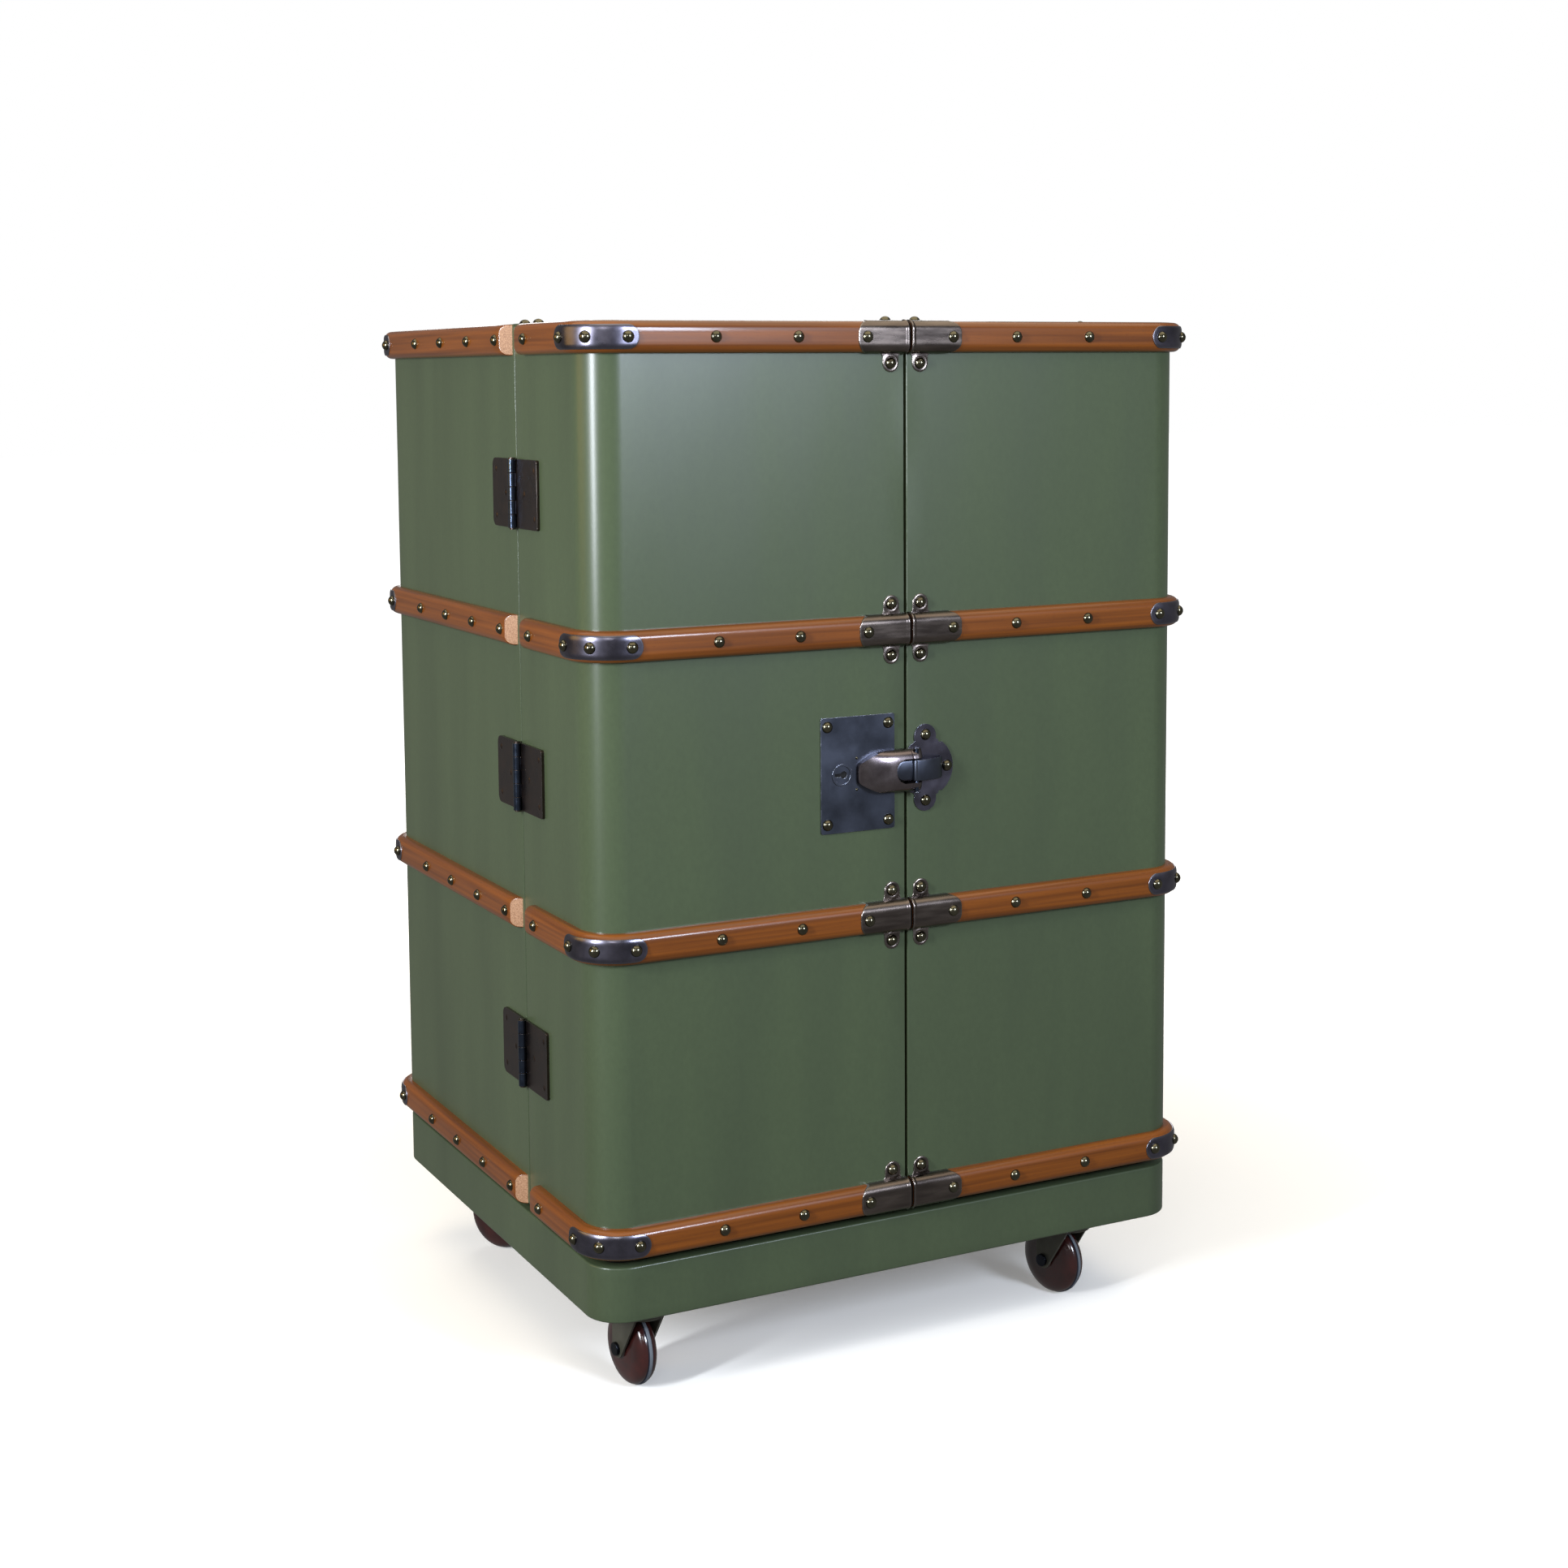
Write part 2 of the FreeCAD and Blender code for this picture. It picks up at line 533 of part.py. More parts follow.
def leaf_screws(z, side):
    """Three screws: two near the leaf's far corners and one in its middle."""
    x = HALF_W + HINGE_THICK
    far = HINGE_LEAF - LEAF_SCREW_INSET
    places = [(far, LEAF_SCREW_RISE), (far, -LEAF_SCREW_RISE), (LEAF_SCREW_MID, 0.0)]
    return [driven(SCREW, (x, SEAM_Y + side * out, z + up), (1, 0, 0)) for out, up in places]


# ---------------------------------------------------------------- lock and hasp
def keyhole(depth):
    """A round hole with a slot to its left, through whatever lies at the front face."""
    start = FRONT_Y - LOCK_THICK
    hole = cylinder(KEYHOLE_RADIUS, depth, Vector(KEYHOLE_X, start, LOCK_Z), Vector(0, 1, 0))
    slot = box(KEYHOLE_X - KEYHOLE_SLOT, KEYHOLE_X, start, start + depth,
               LOCK_Z - KEYHOLE_SLOT_HALF, LOCK_Z + KEYHOLE_SLOT_HALF)
    return hole.fuse(slot)


def lock_plate():
    half_w, half_h = LOCK_WIDTH / 2, LOCK_HEIGHT / 2
    plate = box(LOCK_X - half_w, LOCK_X + half_w, FRONT_Y - LOCK_THICK, FRONT_Y,
                LOCK_Z - half_h, LOCK_Z + half_h)
    rounds = [e for e in plate.Edges if abs(e.Vertexes[0].Y - e.Vertexes[1].Y) > 1e-6]
    return plate.makeFillet(LOCK_CORNER, rounds).cut(keyhole(LOCK_THICK))


def lock_case():
    """The lock's body on the inside of the left door."""
    width, depth, height = LOCK_CASE
    x = KEYHOLE_X + width / 4
    case = box(x - width / 2, x + width / 2, INNER_FRONT, INNER_FRONT + depth,
               LOCK_Z - height / 2, LOCK_Z + height / 2)
    inside_edges = [e for e in case.Edges
                    if all(abs(v.Y - INNER_FRONT - depth) < 1e-6 for v in e.Vertexes)]
    return case.makeFillet(LOCK_CASE_EASE, inside_edges)


def keyhole_collar():
    """A raised ring round the keyhole."""
    base = Vector(KEYHOLE_X - COLLAR_SHIFT, FRONT_Y - LOCK_THICK - COLLAR_THICK, LOCK_Z)
    into = Vector(0, 1, 0)
    ring = cylinder(COLLAR_OUTER, COLLAR_THICK, base, into)
    return ring.cut(cylinder(COLLAR_INNER, COLLAR_THICK, base, into))


def lock_studs():
    face = FRONT_Y - LOCK_THICK
    out_x, out_z = LOCK_WIDTH / 2 - LOCK_STUD_INSET_X, LOCK_HEIGHT / 2 - LOCK_STUD_INSET_Z
    return [driven(STUD, (LOCK_X + sx * out_x, face, LOCK_Z + sz * out_z), (0, -1, 0))
            for sx in (-1, 1) for sz in (-1, 1)]


def hasp_plate():
    """A scalloped plate: a round middle, a lobe above and below, nicks where they meet."""
    face = Vector(0, FRONT_Y - LOCK_THICK, LOCK_Z)
    into = Vector(0, 1, 0)
    plate = cylinder(HASP_PLATE_RADIUS, LOCK_THICK, face + Vector(HASP_PLATE_X, 0, 0), into)
    for sign in (-1, 1):
        lobe = face + Vector(HASP_PLATE_X - LOBE_SHIFT, 0, sign * LOBE_RISE)
        plate = plate.fuse(cylinder(LOBE_RADIUS, LOCK_THICK, lobe, into))
        for side in (-1, 1):
            nick = face + Vector(HASP_PLATE_X - NICK_SHIFT + side * NICK_OUT, 0, sign * NICK_RISE)
            plate = plate.cut(cylinder(NICK_RADIUS, LOCK_THICK, nick, into))
    edge = DOOR_EDGE + HASP_PLATE_GAP
    return plate.common(box(edge, TALL, -TALL, TALL, -TALL, TALL)).removeSplitter()


def hasp_strap():
    """A curved strap from the plate forward to the pin, rolled round it."""
    plate_y = FRONT_Y - LOCK_THICK
    crown = HASP_PIN_Y - KNUCKLE_OUT
    inner = crown + STRAP_THICK
    foot_in = STRAP_FOOT_X - STRAP_THICK
    bend_x = HASP_PIN_X + STRAP_FLAT
    bow_in, bow_outside, bow_inside = STRAP_BOW
    outer_arc = Part.Arc(Vector(STRAP_FOOT_X, plate_y, 0),
                         Vector(STRAP_FOOT_X - bow_in, crown + bow_outside, 0), Vector(bend_x, crown, 0))
    inner_arc = Part.Arc(Vector(bend_x, inner, 0),
                         Vector(foot_in - bow_in, crown + bow_inside, 0), Vector(foot_in, plate_y, 0))
    edges = [outer_arc.toShape(),
             Part.makeLine(Vector(bend_x, crown, 0), Vector(HASP_PIN_X, crown, 0)),
             Part.makeLine(Vector(HASP_PIN_X, crown, 0), Vector(HASP_PIN_X, inner, 0)),
             Part.makeLine(Vector(HASP_PIN_X, inner, 0), Vector(bend_x, inner, 0)),
             inner_arc.toShape(),
             Part.makeLine(Vector(foot_in, plate_y, 0), Vector(STRAP_FOOT_X, plate_y, 0))]
    height = 2 * STRAP_HALF_HEIGHT
    strap = Part.Face(Part.Wire(edges)).extrude(Vector(0, 0, height))
    strap = strap.fuse(cylinder(KNUCKLE_OUT, height, Vector(HASP_PIN_X, HASP_PIN_Y, 0)))
    strap = strap.cut(cylinder(HASP_PIN_RADIUS + RUNNING_CLEARANCE, height,
                               Vector(HASP_PIN_X, HASP_PIN_Y, 0)))
    strap.translate(Vector(0, 0, LOCK_Z - STRAP_HALF_HEIGHT))
    return strap.removeSplitter()


def hasp_body():
    """The almond-shaped hasp: a domed body with a round window and two arms round the pin."""
    half = HASP_HALF_HEIGHT
    tip_x = HASP_PIN_X - HASP_LENGTH
    shoulder_x = HASP_PIN_X - HASP_SHOULDER
    blunt = HASP_BLUNT
    bulge_x, bulge_z = tip_x + HASP_BULGE[0], half - HASP_BULGE[1]
    upper = Part.Arc(Vector(tip_x, 0, blunt), Vector(bulge_x, 0, bulge_z), Vector(shoulder_x, 0, half))
    lower = Part.Arc(Vector(shoulder_x, 0, -half), Vector(bulge_x, 0, -bulge_z), Vector(tip_x, 0, -blunt))
    arm_x = HASP_PIN_X + KNUCKLE_OUT + HASP_ARM_PAST
    edges = [upper.toShape(), Part.makeLine(Vector(shoulder_x, 0, half), Vector(arm_x, 0, half)),
             Part.makeLine(Vector(arm_x, 0, half), Vector(arm_x, 0, -half)),
             Part.makeLine(Vector(arm_x, 0, -half), Vector(shoulder_x, 0, -half)),
             lower.toShape(), Part.makeLine(Vector(tip_x, 0, -blunt), Vector(tip_x, 0, blunt))]
    front_y = HASP_PIN_Y - KNUCKLE_OUT
    outline = Part.Face(Part.Wire(edges))
    outline.translate(Vector(0, front_y, LOCK_Z))
    body = outline.extrude(Vector(0, HASP_BACK_Y - front_y, 0))
    rounded = [e for e in body.Edges
               if all(abs(v.Y - front_y) < 1e-6 for v in e.Vertexes) and e.BoundBox.XMin < arm_x - 1.0]
    body = body.makeFillet(HASP_ROUND, rounded)
    window = half - HASP_ARM
    window_x = HASP_PIN_X - HASP_WINDOW_BACK
    body = body.cut(cylinder(window, TALL, Vector(window_x, -TALL / 2, LOCK_Z), Vector(0, 1, 0)))
    body = body.cut(box(window_x, TALL, -TALL, TALL, LOCK_Z - window, LOCK_Z + window))
    bore_base = Vector(HASP_PIN_X, HASP_PIN_Y, LOCK_Z - half)
    back = cylinder(KNUCKLE_OUT + HASP_ARM_PAST, 2 * half, bore_base)
    behind = box(HASP_PIN_X, TALL, -TALL, TALL, LOCK_Z - half, LOCK_Z + half).cut(back)
    body = body.cut(behind)
    return body.cut(cylinder(HASP_PIN_RADIUS + RUNNING_CLEARANCE, 2 * half, bore_base)).removeSplitter()


def hasp_pin():
    half, head = HASP_HALF_HEIGHT + HASP_PIN_PLAY, HASP_PIN_HEAD
    head_radius = HASP_PIN_RADIUS * PIN_HEAD_FACTOR
    base = Vector(HASP_PIN_X, HASP_PIN_Y, LOCK_Z - half)
    pin = cylinder(HASP_PIN_RADIUS, 2 * half, base)
    top = cylinder(head_radius, head, base + Vector(0, 0, 2 * half))
    foot = cylinder(head_radius, head, base - Vector(0, 0, head))
    return pin.fuse([top, foot]).removeSplitter()


# ---------------------------------------------------------------- plinth and casters
def plinth_frame():
    return shell_wrap(PLINTH_Z, PLINTH_TOP, PLINTH_WALL)


def plinth_boards():
    """The board that carries the casters and the deck under the shell."""
    return [shell_prism(-PLINTH_WALL, z, z + BOARD) for z in (PLINTH_Z, PLINTH_TOP - BOARD)]


def plinth_riser():
    """The dark board that holds the carcass off the plinth, set in from the sides and back."""
    block = shell_prism(-RISER_INSET, PLINTH_TOP, SHELL_Z)
    return carcass_side(block, RISER_INSET)


def caster_plate():
    """Mounting plate, ball raceway and kingpin in one pressing, round the swivel axis."""
    half = CASTER_PLATE / 2
    top = CASTER_HEIGHT
    plate = rounded_prism(-half, half, -half, half, top - CASTER_PLATE_THICK, top, PLATE_CORNER)
    race_base = top - CASTER_PLATE_THICK - RACEWAY_HEIGHT
    raceway = Part.makeCone(RACEWAY_RADIUS, RACEWAY_RADIUS - RACEWAY_TAPER, RACEWAY_HEIGHT,
                            Vector(0, 0, race_base))
    head_top = CROWN_TOP - FORK_CROWN - SWIVEL_GAP
    pin = cylinder(KINGPIN_RADIUS, race_base - head_top, Vector(0, 0, head_top))
    head_past, head_height = KINGPIN_HEAD
    head = cylinder(KINGPIN_RADIUS + head_past, head_height, Vector(0, 0, head_top - head_height))
    return plate.fuse([raceway, pin, head]).removeSplitter()


def caster_fork():
    """Crown disc and two tapering legs, trailing towards -Y from the swivel axis."""
    crown_low = CROWN_TOP - FORK_CROWN
    crown = cylinder(CROWN_RADIUS, FORK_CROWN, Vector(0, 0, crown_low))
    tip = Vector(0, -CASTER_TRAIL, WHEEL_RADIUS)
    outer = FORK_INSIDE + FORK_THICK
    rear = CROWN_RADIUS * CROWN_CHORD
    slant = math.atan2(CASTER_TRAIL + rear - LEG_TIP_RADIUS, CROWN_TOP - WHEEL_RADIUS)
    touch_y = tip.y + LEG_TIP_RADIUS * math.cos(slant)
    touch_z = tip.z - LEG_TIP_RADIUS * math.sin(slant)
    front = tip.y - LEG_TIP_RADIUS
    outline = [Vector(0, front, tip.z), Vector(0, front, CROWN_TOP), Vector(0, rear, CROWN_TOP),
               Vector(0, touch_y, touch_z), tip, Vector(0, front, tip.z)]
    side = Part.Face(Part.makePolygon(outline))
    legs = []
    for x in (-outer, FORK_INSIDE):
        leg = side.extrude(Vector(FORK_THICK, 0, 0))
        leg = leg.fuse(cylinder(LEG_TIP_RADIUS, FORK_THICK, tip, Vector(1, 0, 0)))
        leg.translate(Vector(x, 0, 0))
        legs.append(leg)
    bridge = box(-outer, outer, front, rear, crown_low, CROWN_TOP)
    fork = crown.fuse(legs + [bridge])
    fork = fork.cut(cylinder(KINGPIN_RADIUS + RUNNING_CLEARANCE, TALL, Vector(0, 0, 0)))
    bore = Vector(-TALL / 2, tip.y, tip.z)
    return fork.cut(cylinder(AXLE_RADIUS + RUNNING_CLEARANCE, TALL, bore, Vector(1, 0, 0))).removeSplitter()


def caster_axle():
    outer = FORK_INSIDE + FORK_THICK
    centre = Vector(-outer, -CASTER_TRAIL, WHEEL_RADIUS)
    along = Vector(1, 0, 0)
    axle = cylinder(AXLE_RADIUS, 2 * outer, centre, along)
    head_past, head_height = AXLE_HEAD
    near = cylinder(AXLE_RADIUS + head_past, head_height, centre, Vector(-1, 0, 0))
    far = cylinder(AXLE_RADIUS + head_past, head_height, centre + Vector(2 * outer, 0, 0), along)
    return axle.fuse([near, far]).removeSplitter()


def caster_wheel():
    """A solid wheel: two convex discs with a narrow flat tread between them."""
    bore = AXLE_RADIUS + RUNNING_CLEARANCE
    hub = AXLE_RADIUS + HUB_WALL
    groove = WHEEL_RADIUS - WHEEL_GROOVE
    bulge = WHEEL_BULGE * WHEEL_RADIUS
    drop = math.sqrt(1 - WHEEL_BULGE ** 2)
    points = [Vector(-HUB_FACE, 0, bore), Vector(-HUB_FACE, 0, hub), Vector(-WHEEL_HALF_WIDTH, 0, hub)]
    edges = [Part.makeLine(points[0], points[1]), Part.makeLine(points[1], points[2])]
    rim = Vector(-TREAD_HALF_WIDTH - WHEEL_GROOVE_WIDTH, 0, groove)
    edges.append(Part.Arc(points[2], Vector(-WHEEL_HALF_WIDTH * drop, 0, bulge), rim).toShape())
    groove_in = Vector(-TREAD_HALF_WIDTH, 0, groove)
    tread = Vector(-TREAD_HALF_WIDTH, 0, WHEEL_RADIUS)
    edges.append(Part.makeLine(rim, groove_in))
    edges.append(Part.makeLine(groove_in, tread))
    edges.append(Part.makeLine(tread, Vector(0, 0, WHEEL_RADIUS)))
    edges.append(Part.makeLine(Vector(0, 0, WHEEL_RADIUS), Vector(0, 0, bore)))
    edges.append(Part.makeLine(Vector(0, 0, bore), points[0]))
    half = Part.Face(Part.Wire(edges)).revolve(Vector(0, 0, 0), Vector(1, 0, 0), 360)
    wheel = half.fuse(mirrored(half)).removeSplitter()
    wheel.translate(Vector(0, -CASTER_TRAIL, WHEEL_RADIUS))
    return wheel


def plate_bolts():
    """Four round-headed bolts that hold one caster plate up to the plinth."""
    reach = CASTER_PLATE / 2 - PLATE_BOLT_INSET
    z = CASTER_HEIGHT - CASTER_PLATE_THICK
    bolt = dome_nail(*PLATE_BOLT_SIZE)
    return [driven(bolt, (sx * reach, sy * reach, z), (0, 0, -1))
            for sx in (-1, 1) for sy in (-1, 1)]


def placed(shape, corner, turned=True):
    """A caster's piece at its corner, turned to its rest angle."""
    x, y = CASTER_PLACES[corner]
    copy = shape.copy()
    if turned:
        copy.rotate(Vector(0, 0, 0), Vector(0, 0, 1), CASTER_TURN[corner])
    copy.translate(Vector(x, y, 0))
    return copy


# ---------------------------------------------------------------- build
def build_carcass():
    save("carcass_wrap", carcass_side(shell_wrap(SHELL_Z, SHELL_TOP, WALL)))
    stile = hinge_stile(CARCASS_FRONT, CARCASS_FRONT + HINGE_STILE_DEPTH)
    save("carcass_stiles", group([stile, mirrored(stile)]))
    save("carcass_top_board", carcass_board(SHELL_TOP - BOARD, BOARD, CARCASS_FRONT))
    save("carcass_bottom_board", carcass_board(SHELL_Z, BOARD, CARCASS_FRONT))
    shelf_front = CARCASS_FRONT + HINGE_STILE_DEPTH
    save("carcass_shelves", group([carcass_board(z - SHELF / 2, SHELF, shelf_front) for z in SHELF_LEVELS]))
    save("carcass_bands", carcass_bands())
    cap = corner_cap(1)
    save("carcass_corner_caps", group([at_bands(cap), at_bands(mirrored(cap))]))
    save("carcass_studs", group(carcass_studs()))
    plate = seam_plate(CARCASS_FRONT, 1)
    save("carcass_seam_plates", group([plate, mirrored(plate)]))
    leaves = [hinge_leaf(z, 1, HINGE_CORNER_REAR) for z in HINGE_LEVELS]
    pins = [hinge_pin(z) for z in HINGE_LEVELS]
    screws = [screw for z in HINGE_LEVELS for screw in leaf_screws(z, 1)]
    for node, pieces in (("carcass_hinge_leaves", leaves), ("hinge_pins", pins),
                         ("carcass_hinge_screws", screws)):
        save(node, group(pieces + [mirrored(piece) for piece in pieces]))


def build_door(name, hand):
    """One door, modelled on the right and handed over for the left."""
    nodes = {
        "wrap": [right_door_side(shell_wrap(SHELL_Z, SHELL_TOP, WALL))],
        "stiles": door_stiles(),
        "end_boards": [door_board(SHELL_Z, BOARD), door_board(SHELL_TOP - BOARD, BOARD)],
        "shelves": [door_board(z - SHELF / 2, SHELF) for z in SHELF_LEVELS],
        "rails": door_rails(),
        "bands": [at_bands(right_door_side(BAND_RING, BAND_SETBACK_DOOR))],
        "corner_caps": [at_bands(corner_cap(-1))],
        "centre_sleeves": [centre_sleeve(i) for i in range(BAND_COUNT)],
        "studs": right_door_studs(),
        "hinge_leaves": [hinge_leaf(z, -1, HINGE_CORNER_DOOR) for z in HINGE_LEVELS],
        "hinge_screws": [screw for z in HINGE_LEVELS for screw in leaf_screws(z, -1)],
        "seam_plate": [seam_plate(DOOR_REAR, -1)],
    }
    extra_studs = lock_studs() if name == "left_door" else [
        driven(STUD, (x, FRONT_Y - LOCK_THICK, LOCK_Z + up), (0, -1, 0)) for x, up in HASP_STUDS]
    for node, pieces in nodes.items():
        handed = [hand(piece) for piece in pieces]
        if node == "studs":
            handed = handed + extra_studs
        if node == "wrap" and name == "left_door":
            handed = [handed[0].cut(keyhole(LOCK_THICK + WALL))]
        save(name + "_" + node, group(handed))


def build_latch():
    save("lock_plate", lock_plate())
    save("lock_case", lock_case())
    save("keyhole_collar", keyhole_collar())
    save("hasp_plate", hasp_plate())
    save("hasp_strap", hasp_strap())
    save("hasp_pin", hasp_pin())
    save("hasp_body", hasp_body())


def build_base():
    save("plinth_frame", plinth_frame())
    save("plinth_boards", group(plinth_boards()))
    save("plinth_riser", plinth_riser())
    plate, bolts = caster_plate(), plate_bolts()
    fork, axle, wheel = caster_fork(), caster_axle(), caster_wheel()
    save("caster_plates", group([placed(plate, corner, False) for corner in CASTER_PLACES]))
    save("caster_plate_bolts", group([placed(bolt, corner, False)
                                      for corner in CASTER_PLACES for bolt in bolts]))
    for corner in CASTER_PLACES:
        save(corner + "_caster_fork", placed(fork, corner))
        save(corner + "_caster_axle", placed(axle, corner))
        save(corner + "_caster_wheel", placed(wheel, corner))


build_carcass()
build_door("right_door", lambda shape: shape)
build_door("left_door", mirrored)
build_latch()
build_base()
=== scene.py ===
"""Wheeled wardrobe trunk: covered shell, bent beech bands, steel fittings and casters round the CAD frame.

Metres, +Z up, the front faces -Y. The shell's plan is walked by a length s that starts at the middle of the
front, runs to the right, round the corner, back along the side and across the back.
"""

import json
import logging
import math
from dataclasses import dataclass, field
from enum import Enum
from typing import Any, Callable, Sequence

import bmesh
import bpy
import numpy as np
from mathutils import Matrix, Vector

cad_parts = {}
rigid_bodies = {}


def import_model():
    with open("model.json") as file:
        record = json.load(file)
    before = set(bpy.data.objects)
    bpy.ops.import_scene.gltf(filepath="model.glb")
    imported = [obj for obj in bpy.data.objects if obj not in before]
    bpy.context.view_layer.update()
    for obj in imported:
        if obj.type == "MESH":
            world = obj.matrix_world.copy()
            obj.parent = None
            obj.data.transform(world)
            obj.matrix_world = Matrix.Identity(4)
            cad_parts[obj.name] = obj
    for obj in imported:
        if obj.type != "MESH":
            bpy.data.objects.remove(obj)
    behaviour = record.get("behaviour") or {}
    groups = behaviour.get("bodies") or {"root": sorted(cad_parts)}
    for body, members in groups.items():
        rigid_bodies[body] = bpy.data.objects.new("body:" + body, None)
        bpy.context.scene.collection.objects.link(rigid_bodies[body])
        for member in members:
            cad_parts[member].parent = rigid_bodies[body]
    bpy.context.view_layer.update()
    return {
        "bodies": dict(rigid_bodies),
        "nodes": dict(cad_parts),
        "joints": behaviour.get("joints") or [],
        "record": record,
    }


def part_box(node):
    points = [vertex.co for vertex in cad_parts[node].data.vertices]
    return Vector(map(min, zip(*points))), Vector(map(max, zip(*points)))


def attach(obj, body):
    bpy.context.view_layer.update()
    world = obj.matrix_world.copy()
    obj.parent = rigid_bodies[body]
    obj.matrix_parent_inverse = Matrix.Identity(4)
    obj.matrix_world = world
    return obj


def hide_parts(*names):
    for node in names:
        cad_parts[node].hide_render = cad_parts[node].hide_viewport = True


LOG = logging.getLogger("trunk")
MM = 0.001
Points = np.ndarray
Surface = Callable[[Points, Points, Points], Points]


# ---------------------------------------------------------------- node trees
def linear(hex_colour: str) -> tuple[float, float, float, float]:
    """Turn an sRGB hex colour into linear RGBA.

    Args:
        hex_colour: "#RRGGBB".

    Returns:
        The linear colour with alpha 1.
    """
    values = [int(hex_colour[i:i + 2], 16) / 255 for i in (1, 3, 5)]
    red, green, blue = [v / 12.92 if v <= 0.04045 else ((v + 0.055) / 1.055) ** 2.4 for v in values]
    return red, green, blue, 1.0


def add_node(tree: bpy.types.NodeTree, kind: str, inputs: dict[Any, Any] | None = None,
             **settings: Any) -> bpy.types.Node:
    """Add one node with its settings, constants and links.

    Args:
        tree: The tree that gets the node.
        kind: Blender's type name of the node.
        inputs: Socket name or number to a constant, or to the output socket linked to it.
        **settings: Properties of the node.

    Returns:
        The node.
    """
    node = tree.nodes.new(kind)
    for name, value in settings.items():
        setattr(node, name, value)
    for key, value in (inputs or {}).items():
        if isinstance(value, bpy.types.NodeSocket):
            tree.links.new(value, node.inputs[key])
        else:
            node.inputs[key].default_value = value
    return node


MIX_FACTOR, MIX_A, MIX_B, MIX_RESULT = 0, 6, 7, 2      # colour sockets of the Mix node


class Coordinates(Enum):
    """What a pattern follows."""

    OBJECT = "Object"
    SURFACE = "UV"


@dataclass(frozen=True)
class Finish:
    """A material with a name for the real finish; each kind paints its own tree."""

    name: str

    def build(self) -> bpy.types.Material:
        """Make the material once and return it on every later call."""
        known = bpy.data.materials.get(self.name)
        if known:
            return known
        material = bpy.data.materials.new(self.name)
        material.use_nodes = True
        tree = material.node_tree
        tree.nodes.clear()
        shader = add_node(tree, "ShaderNodeBsdfPrincipled")
        add_node(tree, "ShaderNodeOutputMaterial", {"Surface": shader.outputs["BSDF"]})
        self.paint(tree, shader)
        return material

    def paint(self, tree: bpy.types.NodeTree, shader: bpy.types.Node) -> None:
        """Set the shader's sockets and add the pattern."""
        raise NotImplementedError

    @staticmethod
    def pattern(tree: bpy.types.NodeTree, follows: Coordinates, grain: Sequence[float],
                detail: float = 3.0) -> bpy.types.NodeSocket:
        """Noise with its own grain size along each axis.

        Args:
            tree: The material's tree.
            follows: Object coordinates or the piece's UV map.
            grain: Size of one blotch along each axis, in metres.
            detail: Octaves of finer noise.

        Returns:
            The noise's value socket, about 0.3 to 0.7.
        """
        place = add_node(tree, "ShaderNodeTexCoord")
        scale = tuple(1 / size for size in grain)
        mapping = add_node(tree, "ShaderNodeMapping",
                           {"Vector": place.outputs[follows.value], "Scale": scale})
        noise = add_node(tree, "ShaderNodeTexNoise",
                         {"Vector": mapping.outputs[0], "Scale": 1.0, "Detail": detail})
        return noise.outputs[0]

    @staticmethod
    def spread(tree: bpy.types.NodeTree, value: bpy.types.NodeSocket, low: float, high: float,
               over: tuple[float, float] = (0.3, 0.7)) -> bpy.types.NodeSocket:
        """Map a stretch of a noise value, by default its middle, onto low to high, and clamp it."""
        node = add_node(tree, "ShaderNodeMapRange", {
            "Value": value, "From Min": over[0], "From Max": over[1], "To Min": low, "To Max": high})
        return node.outputs[0]

    @staticmethod
    def blend(tree: bpy.types.NodeTree, factor: bpy.types.NodeSocket, first: Any,
              second: Any) -> bpy.types.NodeSocket:
        """Mix two colours, given as hex values or sockets, by a factor."""
        colours = [linear(c) if isinstance(c, str) else c for c in (first, second)]
        node = add_node(tree, "ShaderNodeMix", {MIX_FACTOR: factor, MIX_A: colours[0], MIX_B: colours[1]},
                        data_type="RGBA")
        return node.outputs[MIX_RESULT]

    @staticmethod
    def relief(tree: bpy.types.NodeTree, shader: bpy.types.Node, height: bpy.types.NodeSocket,
               depth: float) -> None:
        """Roughen the surface by a height pattern of a given depth in metres."""
        bump = add_node(tree, "ShaderNodeBump", {"Height": height, "Distance": depth, "Strength": 1.0})
        tree.links.new(bump.outputs[0], shader.inputs["Normal"])


@dataclass(frozen=True)
class LeatherCloth(Finish):
    """Olive-green leathercloth glued to plywood: a fine pebble, satin, with faint upright polish streaks."""

    ground: str = "#3F4A35"
    worn: str = "#46523A"
    # painted shade: a darker green laid in small speckles over the streaked greens
    shade_speckle_green: str = "#363F2D"
    streak: tuple[float, float, float] = (70 * MM, 70 * MM, 500 * MM)
    mottle: tuple[float, float, float] = (4 * MM, 4 * MM, 6 * MM)
    pebble: float = 1.2 * MM       # the real pebble is about 0.8 mm: drawn coarser so that it shows
    pebble_depth: float = 0.035 * MM
    roughness: float = 0.3

    def paint(self, tree: bpy.types.NodeTree, shader: bpy.types.Node) -> None:
        """Two greens in tall soft streaks, small speckles of painted shade, and a pebbled bump."""
        streaks = self.pattern(tree, Coordinates.OBJECT, self.streak, 4.0)
        shade_speckle_noise = self.pattern(tree, Coordinates.OBJECT, self.mottle, 4.0)
        streaked = self.blend(tree, self.spread(tree, streaks, 0.0, 1.0), self.ground, self.worn)
        mottled = self.blend(tree, self.spread(tree, shade_speckle_noise, 0.0, 0.22), streaked, self.shade_speckle_green)
        tree.links.new(mottled, shader.inputs["Base Color"])
        gloss = self.spread(tree, streaks, self.roughness + 0.03, self.roughness - 0.02)
        tree.links.new(gloss, shader.inputs["Roughness"])
        grain = self.pattern(tree, Coordinates.OBJECT, (self.pebble,) * 3, 2.0)
        self.relief(tree, shader, grain, self.pebble_depth)
        shader.inputs["Specular IOR Level"].default_value = 0.5


